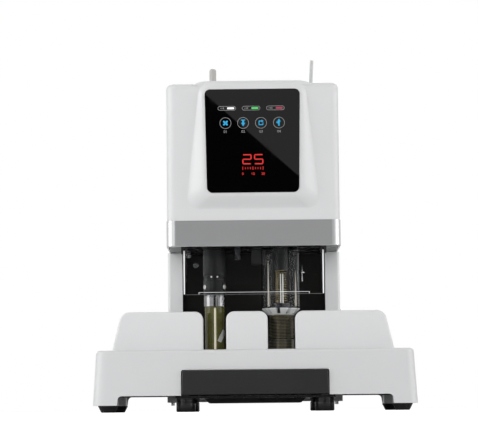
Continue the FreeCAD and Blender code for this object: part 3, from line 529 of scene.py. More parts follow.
def makeDrawnLines():  # brushing or rolling marks, long one way and fine across it
    group, given, out = startEffect("drawnLines", {"Stretch": (8.0, 900.0, 900.0)}, ("Height", "Tone"))
    scaled = addNode(group, "VectorMath", {0: given["Vector"], 1: given["Stretch"]}, operation="MULTIPLY")
    group.links.new(noise(group, scaled.outputs[0], 1.0, 2.0), out["Height"])
    group.links.new(noise(group, scaled.outputs[0], 0.13, 2.0), out["Tone"])


def makeTurnedRings():  # the tool marks of upright turned parts
    group, given, out = startEffect("turnedRings", {"Pitch": 2400.0}, ("Height", "Tone"))
    height = addNode(group, "SeparateXYZ", {"Vector": given["Vector"]}).outputs["Z"]
    level = combine(group, "MULTIPLY", height, given["Pitch"])
    for label, scale, detail in (("Height", 1.0, 2.0), ("Tone", 0.07, 1.0)):
        sockets = {"W": level, "Scale": scale, "Detail": detail}
        group.links.new(addNode(group, "TexNoise", sockets, noise_dimensions="1D").outputs[0], out[label])


makeMouldGrain()
makeEdgeWear()
makeHandMarks()
makeSettledDust()
makeDrawnLines()
makeTurnedRings()


def effect(tree, name, place, **values):
    node = tree.nodes.new("ShaderNodeGroup")
    node.node_tree = bpy.data.node_groups[name]
    tree.links.new(place, node.inputs["Vector"])
    for key, value in values.items():
        node.inputs[key].default_value = value
    return node.outputs


finish = {}  # every material by its name


def startFinish(name, **constants):  # a Principled shader and the piece's own coordinates
    material = bpy.data.materials.new(name)
    material.use_nodes = True
    finish[name] = material
    tree = material.node_tree
    shader = tree.nodes["Principled BSDF"]
    for key, value in constants.items():
        shader.inputs[key.replace("_", " ")].default_value = value
    return tree, shader, addNode(tree, "TexCoord").outputs["Object"]


def tint(tree, shader, factor, colour, other, socket="Base Color"):  # a colour between two tones
    mix = addNode(tree, "Mix", {"Factor": factor, 7: (*other, 1)}, data_type="RGBA")
    if isinstance(colour, bpy.types.NodeSocket):
        tree.links.new(colour, mix.inputs[6])
    else:
        mix.inputs[6].default_value = (*colour, 1)
    tree.links.new(mix.outputs[2], shader.inputs[socket])


def tintOver(tree, shader, factor, colour):  # lays one more tone over the base colour
    tint(tree, shader, factor, shader.inputs["Base Color"].links[0].from_socket, colour)


def gloss(tree, shader, factor, low, high):  # roughness between two values
    tree.links.new(ramp(tree, factor, 0.0, 1.0, low, high), shader.inputs["Roughness"])


def relief(tree, shader, height, depth):
    bump = addNode(tree, "Bump", {"Height": height, "Distance": depth * mm, "Strength": 1.0})
    tree.links.new(bump.outputs[0], shader.inputs["Normal"])


def passLamps(tree, shader, tone):  # clear parts let lamp light through
    shadow = addNode(tree, "LightPath").outputs["Is Shadow Ray"]
    clear = addNode(tree, "BsdfTransparent", {"Color": (*tone, 1)}).outputs[0]
    mix = addNode(tree, "MixShader", {0: shadow, 1: shader.outputs[0], 2: clear})
    tree.links.new(mix.outputs[0], tree.nodes["Material Output"].inputs["Surface"])


dustTone = (0.55, 0.54, 0.52)


def moulded(name, colour, other, low, high, grain=1600.0, depth=0.02, wear=None, dust=0.0, **constants):
    tree, shader, place = startFinish(name, **constants)
    skin = effect(tree, "mouldGrain", place, Scale=grain)
    tint(tree, shader, skin["Tone"], colour, other)
    if wear:
        tintOver(tree, shader, effect(tree, "edgeWear", place, Radius=1.2 * mm)["Mask"], wear)
    if dust:
        tintOver(tree, shader, effect(tree, "settledDust", place, Amount=dust)["Mask"], dustTone)
    gloss(tree, shader, effect(tree, "handMarks", place, Scale=18.0)["Mask"], low, high)
    relief(tree, shader, skin["Height"], depth)


def machined(name, colour, other, low, high, stretch=None, pitch=None, depth=0.006, wear=None, **constants):
    tree, shader, place = startFinish(name, Metallic=1.0, **constants)
    if stretch:
        lines = effect(tree, "drawnLines", place, Stretch=stretch)
    else:
        lines = effect(tree, "turnedRings", place, Pitch=pitch)
    tint(tree, shader, lines["Tone"], colour, other)
    if wear:
        tintOver(tree, shader, effect(tree, "edgeWear", place, Radius=0.7 * mm, Breakup=500.0)["Mask"], wear)
    gloss(tree, shader, effect(tree, "handMarks", place, Scale=40.0)["Mask"], low, high)
    relief(tree, shader, lines["Height"], depth)


def clearPlastic(name, colour, other, low, high, tone, index, clear=1.0):
    tree, shader, place = startFinish(name, IOR=index, Transmission_Weight=clear)
    marks = effect(tree, "handMarks", place, Scale=30.0)["Mask"]
    tint(tree, shader, marks, colour, other)
    gloss(tree, shader, marks, low, high)
    passLamps(tree, shader, tone)


def glowing(name, colour, strength):
    tree, shader, place = startFinish(name, Roughness=0.35, Emission_Strength=strength)
    dots = noise(tree, place, 700.0, 2.0)
    tint(tree, shader, dots, colour, [0.8 * share for share in colour])
    tint(tree, shader, dots, colour, [0.75 * share for share in colour], "Emission Color")


def grey(level):
    return level, level, level


def cool(level):  # the faintly blue white of the covers
    return level, level + 0.005, level + 0.01


# a name, two tones, the lowest and highest roughness, and what else the finish has
moulded("shellWhite", cool(0.70), cool(0.66), 0.36, 0.46, wear=grey(0.74), dust=0.10)
moulded("fenceWhite", cool(0.74), cool(0.70), 0.38, 0.48, wear=grey(0.78), dust=0.12)
# the same white plastic, made lighter as painted light on the pillars in the shade of the head
moulded("columnWhitePaintedLight", cool(0.79), cool(0.75), 0.36, 0.46, wear=grey(0.83), dust=0.10)
# the same white plastic, made darker as painted shade on the base
moulded("baseWhitePaintedShade", cool(0.665), cool(0.63), 0.36, 0.46, wear=grey(0.72), dust=0.10)
# lighter than the white plastic, as painted light on the caps and rails in the shade under the base
moulded("capWhitePaintedLight", grey(0.80), grey(0.76), 0.4, 0.5, wear=grey(0.84))
moulded("satinBlack", (0.0125, 0.0125, 0.013), (0.009, 0.009, 0.0095), 0.42, 0.52, grain=1100.0, depth=0.03,
        wear=grey(0.04), dust=0.1, Specular_IOR_Level=0.4)
# a darker copy of the black plastic, with painted shade for the deep throat
moulded("linerBlackPaintedShade", (0.0045, 0.004, 0.0035), (0.003, 0.0028, 0.0025), 0.5, 0.6, grain=1100.0, depth=0.03,
        Specular_IOR_Level=0.2)
moulded("housingBlack", (0.010, 0.010, 0.0105), (0.008, 0.008, 0.0085), 0.36, 0.42, grain=1400.0, depth=0.006,
        wear=grey(0.03), Specular_IOR_Level=0.16)
moulded("legBlack", grey(0.006), grey(0.005), 0.24, 0.32, grain=900.0, depth=0.01, dust=0.2)
moulded("trayGrey", (0.10, 0.10, 0.105), (0.08, 0.08, 0.085), 0.42, 0.55, grain=900.0, wear=grey(0.16),
        dust=0.4)
moulded("socketGrey", (0.30, 0.30, 0.31), (0.26, 0.26, 0.27), 0.4, 0.55, dust=0.3)
moulded("rodGrey", (0.50, 0.49, 0.47), (0.44, 0.43, 0.41), 0.4, 0.5, grain=900.0)
moulded("nylonWhite", (0.62, 0.615, 0.59), (0.56, 0.555, 0.53), 0.36, 0.48, grain=600.0,
        Subsurface_Weight=0.1)
moulded("footRubber", grey(0.005), (0.008, 0.0075, 0.0075), 0.55, 0.7, grain=700.0, depth=0.05, dust=0.3,
        Specular_IOR_Level=0.3)
moulded("beltRubber", grey(0.018), (0.026, 0.025, 0.024), 0.55, 0.75, grain=800.0, depth=0.05)
moulded("boardGreen", (0.02, 0.13, 0.05), (0.015, 0.10, 0.04), 0.25, 0.4, grain=420.0, depth=0.08, dust=0.4)
# the emission is a painted glow on the sawn edges of the guard
moulded("sawnAcrylicPaintedGlow", (0.80, 0.81, 0.81), (0.70, 0.71, 0.71), 0.25, 0.4, grain=500.0,
        Emission_Color=(1, 1, 1, 1), Emission_Strength=0.28)
moulded("cutAcrylic", (0.95, 0.96, 0.96), (0.86, 0.87, 0.87), 0.04, 0.10, grain=300.0, depth=0.01,
        Transmission_Weight=0.5, IOR=1.49)
# warm strips that stand in for the shield's side highlights, a painted highlight
moulded("paintedHighlightWarm", (0.52, 0.48, 0.40), (0.40, 0.36, 0.30), 0.2, 0.3, grain=600.0)
moulded("paleFilm", (0.46, 0.46, 0.44), (0.36, 0.36, 0.34), 0.2, 0.35, grain=500.0)
moulded("lensRed", (0.07, 0.006, 0.006), (0.05, 0.004, 0.004), 0.05, 0.1, grain=200.0)
# bright screws, and also the bright bars in front of the rivet spring, which are a painted highlight
moulded("screwAndHighlightBright", (0.74, 0.73, 0.71), (0.62, 0.61, 0.59), 0.2, 0.3, grain=900.0, Metallic=0.35)
# a cream coat, and the emission is a painted glow that keeps the drill bright inside its sleeve
moulded("drillCoatPaintedGlow", (0.93, 0.90, 0.82), (0.86, 0.83, 0.75), 0.25, 0.35, grain=1800.0, depth=0.004,
        Emission_Color=(1, 0.94, 0.87, 1), Emission_Strength=0.34)
machined("blackSteel", (0.036, 0.036, 0.038), (0.024, 0.024, 0.026), 0.26, 0.38, pitch=2200.0,
         wear=grey(0.25))
machined("chrome", (0.62, 0.62, 0.63), (0.55, 0.55, 0.56), 0.06, 0.16, pitch=1500.0, depth=0.002)
# a darker copy of the polished steel, with painted shade standing in for its dark reflections
machined("ringSteelPaintedShade", (0.19, 0.19, 0.195), (0.16, 0.16, 0.165), 0.13, 0.2, pitch=1500.0, depth=0.002)
machined("groundSteel", (0.56, 0.56, 0.57), (0.46, 0.46, 0.47), 0.18, 0.32, pitch=2600.0)
machined("springSteel", (0.34, 0.30, 0.18), (0.22, 0.17, 0.10), 0.2, 0.36, pitch=900.0)
machined("springBlack", (0.20, 0.185, 0.12), (0.10, 0.085, 0.065), 0.22, 0.35, pitch=900.0)
machined("screwSteel", (0.24, 0.24, 0.25), (0.16, 0.16, 0.17), 0.25, 0.4, pitch=1400.0)
machined("zincPlate", (0.50, 0.51, 0.53), (0.40, 0.41, 0.43), 0.3, 0.45, stretch=(14.0, 700.0, 700.0),
         wear=grey(0.6))
machined("castAlloy", (0.52, 0.53, 0.54), (0.44, 0.45, 0.46), 0.34, 0.5, stretch=(420.0, 60.0, 420.0),
         wear=grey(0.66))
machined("motorBlack", (0.06, 0.06, 0.065), (0.04, 0.04, 0.045), 0.35, 0.5, stretch=(500.0, 500.0, 30.0),
         wear=grey(0.3))
clearPlastic("clearAcrylic", (0.97, 0.98, 0.98), (0.93, 0.94, 0.94), 0.01, 0.04, tone=(0.94, 0.95, 0.95),
             index=1.22)
clearPlastic("shieldAcrylic", (0.98, 0.985, 0.985), (0.96, 0.965, 0.965), 0.0, 0.004, tone=(0.96, 0.97, 0.97),
             index=1.12)
clearPlastic("amberAcrylic", (0.125, 0.122, 0.032), (0.10, 0.10, 0.028), 0.05, 0.12, tone=(0.8, 0.78, 0.5),
             index=1.3, clear=0.5)
# a name, one tone and how strongly it glows
glowing("markGrey", grey(0.24), 0.3)
glowing("markBlue", (0.015, 0.31, 0.56), 0.5)
glowing("lampWhite", grey(0.85), 0.6)
glowing("lampGreen", (0.05, 0.50, 0.10), 0.6)
glowing("lampRed", (0.36, 0.03, 0.07), 0.4)
glowing("digitRed", (0.50, 0.012, 0.01), 0.6)


def makeSilverPaint():  # fine metal flake under a thin clear coat
    tree, shader, place = startFinish("silverPaint", Metallic=0.55, Coat_Weight=0.3, Coat_Roughness=0.12)
    flake = effect(tree, "mouldGrain", place, Scale=900.0)["Tone"]
    tint(tree, shader, flake, cool(0.53), cool(0.50))
    gloss(tree, shader, flake, 0.17, 0.21)


def makePanelBlack():  # back-painted glass
    tree, shader, place = startFinish("panelBlack", IOR=1.5, Coat_Weight=0.0)
    marks = effect(tree, "handMarks", place, Scale=22.0)["Mask"]
    tint(tree, shader, marks, grey(0.0004), grey(0.0009))
    gloss(tree, shader, marks, 0.012, 0.04)


makeSilverPaint()
makePanelBlack()

nodeFinish = {  # the CAD nodes that are shown as they are
    "shellWhite": ["rear_cover"],
    # column_cover, base_cover and under_rails take lighter and darker copies of the white plastic, as painted
    # light and shade
    "columnWhitePaintedLight": ["column_cover"],
    "baseWhitePaintedShade": ["base_cover"],
    "capWhitePaintedLight": ["under_rails"],
    "fenceWhite": ["fence"],
    "silverPaint": ["head_band"],
    "panelBlack": ["panel_glass"],
    # the throat liner is darkened as painted shade
    "linerBlackPaintedShade": ["throat_liner"],
    "housingBlack": ["spindle_housing"],
    "satinBlack": ["drawer_front", "guard_hinges", "sensor_box", "under_pan", "switch_body", "switch_rocker",
                   "power_inlet"],
    "trayGrey": ["drawer_tray", "drawer_runners"],
    "socketGrey": ["accessory_sockets"],
    "rodGrey": ["clearing_rod"],
    "nylonWhite": ["nylon_tube", "cutting_pad"],
    "clearAcrylic": ["guard"],
    "shieldAcrylic": ["clear_shield"],
    "zincPlate": ["side_frames", "anvil_beam", "top_plate", "power_supply"],
    "groundSteel": ["guide_rods", "drill_screw", "rivet_screw", "spindle"],
    "chrome": ["rivet_anvil"],
    "blackSteel": ["press_foot", "chuck", "shield_mount", "base_plate", "head_floor", "laser_pointer"],
    "castAlloy": ["drill_carriage", "rivet_carriage", "fence_carrier", "pad_holder", "anvil_heater"],
    "motorBlack": ["lift_motors", "drill_motor", "motor_pulley"],
    "beltRubber": ["drive_belt"],
    "boardGreen": ["circuit_boards"],
}
for label, names in nodeFinish.items():
    for name in names:
        nodes[name].data.materials.clear()
        nodes[name].data.materials.append(finish[label])
print("finishes ready:", len(finish))


panel = {
    "thick": 2.0,
    "markThick": 0.12,  # how far the marks stand on the glass
    "lamps": {"white": -34.4, "green": -1.7, "red": 31.1},
    "lampRow": 407.3,
    "lampSize": (24.5, 6.0),
    "lampLine": 0.55,
    "lampBar": (9.4, 2.6, 0.9),  # width, height and corner
    "lampBarShift": 5.2,
    "levelBars": ((-8.4, 1.2), (-6.5, 2.0), (-4.6, 2.8)),  # x and height of a small scale beside each lamp
    "keyXs": (-36.4, -12.6, 11.5, 35.7),
    "keyRow": 387.0,
    "keyRadius": 7.8,
    "keyLine": 0.6,
    "symbolScale": 0.9,
    "numberRow": 375.0,
    "numberSize": 5.0,
    "digits": "25",
    "digitRow": 337.2,
    "digitSize": (12.6, 14.0),
    "digitLine": 0.13,  # shares of a digit's width, as its pitch
    "digitPitch": 1.25,
    "scaleRow": 325.0,
    "scaleBars": 9,
    "scalePitch": 3.4,
    "scaleHeights": (4.6, 3.0, 3.0, 3.0),  # one tall bar to each three short ones
    "scaleNumbers": ("0", "10", "20"),
    "scaleNumberRow": 317.3,
    "barWide": 0.8,
    "barCorner": 0.2,
}
symbols = {  # bars as width, height, corner, x, z and turn, wedges as size, x, z and turn
    "cut": {"bars": ((9.0, 2.6, 1.1, 0, 0, 45), (9.0, 2.6, 1.1, 0, 0, -45)), "wedges": ()},
    "down": {"bars": ((2.6, 4.6, 0.4, 0, 1.4), (6.4, 1.3, 0.5, 0, 4.4)), "wedges": ((3.6, 0, -1.6, 180),)},
    "around": {"bars": ((6.4, 1.2, 0.3, 0, -2.9), (1.2, 6.2, 0.3, -2.9, -0.2), (4.0, 1.2, 0.3, -1.3, 2.6),
                        (1.2, 3.6, 0.3, 2.9, -1.4)),
               "wedges": ((2.2, 1.8, 2.6, 90),)},
    "up": {"bars": ((2.2, 8.0, 0.4, 0, -0.8), (5.6, 1.6, 0.6, -1.6, -0.6, 40.1)),
           "wedges": ((3.2, 0, 3.0, 0),)},
}
panelLow, panelHigh = boxOf("panel_glass")
panelSlope = (panelHigh.y - panelLow.y - panel["thick"]) / (panelHigh.z - panelLow.z)


def onPanel(piece, x, z):  # lays a flat piece, made about the origin in the XZ plane, on the leaning glass
    y = panelLow.y + (z - panelLow.z) * panelSlope - panel["markThick"] / 2
    return setAt(piece, (x, y, z), (-math.atan(panelSlope), 0, 0))


def flatRing(radius, line, sides=48, stretch=0.0):  # stretch pulls its halves apart into a capsule
    ring = startDisc((0, 0, 0), radius, sides, (math.pi / 2, 0, 0))
    edit(ring, "VERT")
    for side in (1, -1):
        pickPoints(ring, lambda p: p.x * side > 0)
        slide(side * stretch / 2)
    leave()
    edit(ring, action="SELECT")
    bpy.ops.mesh.inset(thickness=line * mm)
    bpy.ops.mesh.delete(type="FACE")
    leave()
    return thickened(ring, panel["markThick"])


def flatBar(width, height, corner, x=0.0, z=0.0, turn=0.0):
    bar = startPlate((0, 0, 0), width, height)
    edit(bar, "VERT", "SELECT")
    bevelPicked(corner, 4, "VERTICES")
    leave()
    return thickened(setAt(bar, (x, 0, z), (0, math.radians(turn), 0)), panel["markThick"])


def flatWedge(size, x, z, turn):  # an arrow head that points up before its turn
    wedge = startDisc((0, 0, 0), size, 3, (math.pi / 2, 0, 0))
    return thickened(setAt(wedge, (x, 0, z), (0, math.radians(turn), 0)), panel["markThick"])


def flatText(text, size):
    bpy.ops.object.text_add(rotation=(math.pi / 2, 0, 0))
    words = active()
    words.data.body = text
    words.data.size = size * mm
    words.data.align_x = "CENTER"
    words.data.align_y = "CENTER"
    words.data.extrude = panel["markThick"] / 2 * mm
    bpy.ops.object.convert(target="MESH")
    return freeze(active())


segmentsOf = {"0": "abcdef", "1": "bc", "2": "abged", "3": "abgcd", "4": "fgbc", "5": "afgcd", "6": "afgedc",
              "7": "abc", "8": "abcdefg", "9": "abcdfg"}


def digit(figure):  # a seven-segment figure
    width, height = panel["digitSize"]
    line = width * panel["digitLine"]
    half = height / 2 - line / 2
    side = width / 2 - line / 2
    across = (width - 1.3 * line, line)
    upright = (line, height / 2 - 0.8 * line)
    places = {"a": (across, 0, half), "g": (across, 0, 0), "d": (across, 0, -half),
              "f": (upright, -side, half / 2), "b": (upright, side, half / 2),
              "e": (upright, -side, -half / 2), "c": (upright, side, -half / 2)}
    parts = []
    for segment in segmentsOf[figure]:
        size, x, z = places[segment]
        parts.append(flatBar(*size, line * 0.3, x, z))
    return joined(parts)


def spread(count, pitch):  # places about the middle
    return [(index - (count - 1) / 2) * pitch for index in range(count)]


def finishMarks(marks, name, skin):
    finished(joined(marks), name, "machine", skin)


def makePanelOutlines():
    width, height = panel["lampSize"]
    outlines = []
    for x in panel["lamps"].values():
        capsule = flatRing(height / 2, panel["lampLine"], 32, width - height)
        outlines.append(onPanel(capsule, x, panel["lampRow"]))
    for x in panel["keyXs"]:
        outlines.append(onPanel(flatRing(panel["keyRadius"], panel["keyLine"]), x, panel["keyRow"]))
    finishMarks(outlines, "panelOutlines", "markGrey")


def makeStatusLamps():
    for colour, x in panel["lamps"].items():
        bar = onPanel(flatBar(*panel["lampBar"]), x + panel["lampBarShift"], panel["lampRow"])
        finishMarks([bar], colour + "StatusLamp", "lamp" + colour.capitalize())


def makePanelLabels():
    labels = []
    for x in panel["lamps"].values():
        for shift, tall in panel["levelBars"]:
            bar = flatBar(panel["barWide"], tall, panel["barCorner"])
            labels.append(onPanel(bar, x + shift, panel["lampRow"]))
    for number, x in enumerate(panel["keyXs"], 1):
        labels.append(onPanel(flatText(f"0{number}", panel["numberSize"]), x, panel["numberRow"]))
    finishMarks(labels, "panelLabels", "markGrey")


def makeKeySymbols():
    signs = []
    for x, drawing in zip(panel["keyXs"], symbols.values()):
        bars = [flatBar(*bar) for bar in drawing["bars"]]
        sign = joined(bars + [flatWedge(*wedge) for wedge in drawing["wedges"]])
        sign.scale = (panel["symbolScale"], 1, panel["symbolScale"])
        signs.append(onPanel(freeze(sign), x, panel["keyRow"]))
    finishMarks(signs, "keySymbols", "markBlue")


def makeCounter():
    figures = []
    digitXs = spread(len(panel["digits"]), panel["digitSize"][0] * panel["digitPitch"])
    for x, figure in zip(digitXs, panel["digits"]):
        figures.append(onPanel(digit(figure), x, panel["digitRow"]))
    heights = panel["scaleHeights"]
    for index, x in enumerate(spread(panel["scaleBars"], panel["scalePitch"])):
        bar = flatBar(panel["barWide"], heights[index % len(heights)], panel["barCorner"])
        figures.append(onPanel(bar, x, panel["scaleRow"]))
    numbers = panel["scaleNumbers"]
    for x, number in zip(spread(len(numbers), panel["scalePitch"] * len(heights)), numbers):
        figures.append(onPanel(flatText(number, panel["numberSize"]), x, panel["scaleNumberRow"]))
    finishMarks(figures, "counterDigits", "digitRed")


makePanelOutlines()
makeStatusLamps()
makePanelLabels()
makeKeySymbols()
makeCounter()
print("touch panel done")


springs = {
    "pressSpring": {"node": "press_spring", "body": "drill_lift", "joint": "drill_press", "wire": 0.9,
                    "turns": 11, "travel": 50.0, "skin": "springSteel"},
    "footCoil": {"node": "foot_coil", "body": "rivet_lift", "joint": "rivet_press", "wire": 0.7,
                 "turns": 16, "travel": 12.0, "skin": "springBlack"},
    "innerSpring": {"node": "inner_spring", "body": "rivet_lift", "joint": "rivet_press", "wire": 0.65,
                    "turns": 28, "travel": 12.0, "skin": "springSteel"},
}


def makeSprings():
    for name, spring in springs.items():
        low, high = boxOf(spring["node"])
        mean = (high.x - low.x) / 2 - spring["wire"]
        piece = coil(axisOf(spring["node"]), low.z, high.z, mean, spring["wire"], spring["turns"])
        finished(piece, name, spring["body"], spring["skin"], (spring["node"],),
                 angle=80)
        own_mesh(piece)


makeSprings()
print("springs done")


headCover = {
    "half": 116.8,
    "front": -118.0,
    "back": 150.0,
    "low": 256.0,
    "high": 443.0,
    "wall": 3.0,
    "cornerRound": 11.5,
    "topRound": 7.0,
    "rodHole": 5.9,
    "tubeHole": 4.2,
    "tubeAxis": (84.6, 75.0),  # where the leaning tube passes the top
}
bulge = {
    "foot": ((92.0, 271.0), (65.6, 290.5)),  # half width and height, outside and inside its flank
    "head": ((72.0, 446.0), (65.6, 441.0)),
    "corner": 18.0,
    "sunk": 2.0,  # how far it starts inside the cover
    "steps": 9,
    "rise": 13.03,  # at its foot
    "fade": 0.289,  # share of the rise that is left at its head
}
crown = {
    "halves": (83.0, 69.0),  # at its foot and at its top, as its back
    "back": (-58.0, -84.0),
    "front": -117.5,
    "sunk": 3.0,
    "round": 8.0,
}


def flankShare(now):  # how much of the bulge's rise is done: a soft foot, a steep middle, a soft brow
    return (now + now ** 2 * (3 - 2 * now)) / 2


def makeBulge():  # its flank is broad at the foot and narrow at the head
    (footOut, low), (footIn, lowIn) = bulge["foot"]
    (headOut, high), (headIn, highIn) = bulge["head"]
    level, steps, middle = headCover["front"], bulge["steps"], (low + high) / 2
    piece = startPlate((0, level + bulge["sunk"], middle), 2 * footOut, high - low)
    edit(piece, "VERT")
    pickPoints(piece, lambda p: p.z > high - hair)
    scaleFrom((0, 0, high), headOut / footOut)
    bpy.ops.mesh.select_all(action="SELECT")
    bevelPicked(bulge["corner"], 10, "VERTICES")
    bpy.ops.mesh.select_all(action="SELECT")
    extrude(y=-bulge["sunk"])
    ends = ((-1, footOut, footIn, lowIn - low), (1, headOut, headIn, highIn - high))
    for step in range(steps):
        last, now = step / steps, (step + 1) / steps
        rise = bulge["rise"] * (flankShare(now) - flankShare(last))
        extrude(y=-rise)
        level -= rise
        for side, out, into, shift in ends:
            pickPoints(piece, lambda p: p.y < level + hair and (p.z - middle) * side > 0)
            scaleFrom((0, 0, middle), (out + (into - out) * now) / (out + (into - out) * last))
            slide(z=shift / steps)
        pickPoints(piece, lambda p: p.y < level + hair)
    leave()
    originAt(piece, (0, headCover["front"], low))
    useModifier(piece, "SIMPLE_DEFORM", deform_method="TAPER", deform_axis="Z", lock_x=True,
                factor=bulge["fade"] - 1)
    return tidied(freeze(piece))


def makeCrown():  # the low brow between the bulge and the top
    (footHalf, topHalf), (footBack, topBack) = crown["halves"], crown["back"]
    low, high = headCover["high"] - crown["sunk"], bulge["head"][0][1]
    piece = startBox((-footHalf, crown["front"], low), (footHalf, footBack, high))
    edit(piece, "VERT")
    pickPoints(piece, lambda p: p.z > high - hair)
    scaleFrom((0, 0, high), topHalf / footHalf)
    pickPoints(piece, lambda p: p.z > high - hair and p.y > footBack - hair)
    slide(y=topBack - footBack)
    leave()
    bevelEdges(piece, lambda a, b: min(a.z, b.z) > high - hair and max(a.y, b.y) > topBack - hair,
               crown["round"], 6)
    return tidied(piece)


def makeHeadCover():
    half, wall = headCover["half"], headCover["wall"]
    front, back, low, high = (headCover[key] for key in ("front", "back", "low", "high"))
    hull = startBox((-half, front, low), (half, back, high))
    bevelEdges(hull, lambda a, b: max(a.y, b.y) < front + hair and abs(a.z - b.z) > hair,
               headCover["cornerRound"], 10)
    bevelEdges(hull, lambda a, b: min(a.z, b.z) > high - hair and min(a.y, b.y) < back - hair,
               headCover["topRound"], 7)
    withBoolean(hull, "UNION", makeBulge())
    withBoolean(hull, "UNION", makeCrown())
    inner = startBox((wall - half, front + wall, low - past), (half - wall, back + past, high - wall))
    bevelEdges(inner, lambda a, b: max(a.y, b.y) < front + wall + hair and abs(a.z - b.z) > hair,
               headCover["cornerRound"] - wall / 2, 8)
    carved(hull, inner)
    bored(hull, axisOf("clearing_rod"), headCover["rodHole"], high - past, high + past, sides=40)
    bored(hull, headCover["tubeAxis"], headCover["tubeHole"], high - past, high + past, sides=40)
    finished(tidied(hull), "headCover", "machine", "shellWhite", ("head_cover",), angle=40,
             weighted=True)


makeHeadCover()
print("head cover done")


screw = {
    "radius": 3.1,
    "rise": 1.5,
    "seat": 0.1,  # how far it is let into its wall
    "profile": ((1.0, 0.45), (0.93, 0.7), (0.75, 0.9), (0.4, 1.0)),  # shares of its radius and rise
    "slot": 0.9,
    "slotReach": 0.6,  # share of the radius
    "slotTurns": (0.3, 0.3 + math.pi / 2),
    "throatPlaces": ((-91.8, 219.0), (-81.6, 205.4)),
    "throatScale": 1.35,
    "throatSocket": 2.5,
    "throatFloor": 0.2,  # height of the socket's floor
    "throatWall": 8.0,
    "rearPlaces": ((-110, 108), (110, 108), (-110, 205), (110, 205), (-106, 292), (106, 292), (-106, 428),
                   (106, 428), (0, 428), (0, 205)),
    "rearWall": 149.7,
    "rearTwist": 0.4,  # turns each head a little differently
}


def makePanHead():  # one cross-recessed head at the origin, facing up
    radius, rise = screw["radius"], screw["rise"]
    outline = [(radius, -screw["seat"])] + [(radius * out, rise * up) for out, up in screw["profile"]]
    head = turned((0, 0), outline, sides=24)
    reach, half, floor = radius * screw["slotReach"], screw["slot"] / 2, rise * screw["profile"][0][1]
    for turn in screw["slotTurns"]:
        blade = startBox((-reach, -half, floor), (reach, half, rise + past))
        carved(head, setAt(blade, (0, 0, 0), (0, 0, turn)))
    return tidied(head)


def makeScrews():
    head = makePanHead()
    large = placed(head, (0, 0, 0))
    large.scale = (screw["throatScale"], screw["throatScale"], 1)
    bored(freeze(large), (0, 0), screw["throatSocket"], screw["throatFloor"], screw["rise"] + past, sides=24)
    throat = [placed(large, (x, screw["throatWall"], z), (math.pi / 2, 0, 0))
              for x, z in screw["throatPlaces"]]
    finished(joined(throat), "throatScrews", "machine", "screwSteel")
    rear = [placed(head, (x, screw["rearWall"], z), (-math.pi / 2, screw["rearTwist"] * x, 0))
            for x, z in screw["rearPlaces"]]
    finished(joined(rear), "rearScrews", "machine", "zincPlate")
    discard(large)
    discard(head)


makeScrews()
print("screws done")


guardTrim = {
    "front": -106.2,
    "low": 157.6,
    "high": 216.4,
    "thick": 1.0,
    "edges": ((-94.9, -93.2), (92.5, 94.2)),  # the left and the right edge, from x to x
    "lipHalf": 74.6,
    "lipFront": -109.6,
    "lipLow": 157.2,
    "lipHigh": 159.9,
    "lipThick": 0.5,
    "lipEnd": 0.7,
    "lipLine": 0.45,
    "round": 0.15,
    "shade": ((-94.0, -106.1, 156.9), (94.0, -105.7, 157.2)),  # a painted shadow line under the sheet
    "shadeRound": 0.1,
}


def makeGuardEdges():  # the sawn edges of the clear sheet, given a painted glow
    g = guardTrim
    half, front, back = g["lipHalf"], g["lipFront"], g["lipFront"] + g["lipThick"]
    strips = [startBox((low, g["front"], g["low"]), (high, g["front"] + g["thick"], g["high"]))
              for low, high in g["edges"]]
    strips.append(startBox((-half, front, g["lipLow"]), (g["lipEnd"] - half, back, g["lipHigh"])))
    strips.append(startBox((half - g["lipEnd"], front, g["lipLow"]), (half, back, g["lipHigh"])))
    strips.append(startBox((-half, front, g["lipHigh"] - g["lipLine"]), (half, back, g["lipHigh"])))
    edges = joined([rounded(strip, g["round"], 2) for strip in strips])
    finished(edges, "guardEdges", "guard_body", "sawnAcrylicPaintedGlow")
    # a thin dark strip under the sheet, a painted shadow
    shade = rounded(startBox(*g["shade"]), g["shadeRound"], 2)
    finished(shade, "guardLowerEdge", "guard_body", "socketGrey")


makeGuardEdges()
print("guard edges done")


drillUnit = {
    "collar": [(14.6, 157.2), (15.0, 157.6), (15.0, 160.6), (14.5, 161.0), (14.5, 161.8), (15.0, 162.2),
               (15.0, 178.6), (14.6, 179.0), (14.6, 183.6)],
    "ring": [(14.5, 142.0), (15.0, 142.6), (15.0, 155.6), (14.7, 156.0), (14.7, 157.2)],
    "bore": 14.0,
    "pin": [(3.3, 0), (3.3, 1.1), (2.475, 1.9)],
    "pinSocket": 1.3,
    "pinSocketSpan": (0.9, 2.5),
    "pinSeat": 14.05,  # how far from the axis it starts, as the dot's seat
    "pinHeight": 169.0,
    "pinTurns": (27, 153, 207, 333),
    "dot": [(1.2, 0), (1.2, 0.4), (0.6, 0.8)],
    "dotSeat": 14.5,
    "dotHeight": 182.4,
    "dotTurns": (254, 286),
    "bit": [(2.5, 84.5), (3.2, 88.5), (3.2, 128.0), (3.2, 166.0), (2.9, 166.6), (2.9, 169.8)],
    "bitBore": 2.2,
    "bitBoreTop": 160.0,
}
pressSleeve = {
    "radius": 13.85,
    "bore": 12.0,
    "edge": 0.4,
    "low": 82.4,
    "high": 170.0,
    "slot": (-0.95, 1.75, 84.0, 140.5),  # from x to x and from z to z, x from the axis
    "slotDeep": (20.0, 5.0),  # from its front to its back, before the axis
    "slotRound": 0.8,
    "film": (13.95, 13.35),  # outer and inner radius
    "filmSpan": (83.4, 132.4),
    "window": (5.5, 17.0),
    "windowPlace": (9.5, -12.0, 102.0),  # x and y from the axis
    "windowReach": 8.0,
    "windowSlant": 0.45,
}


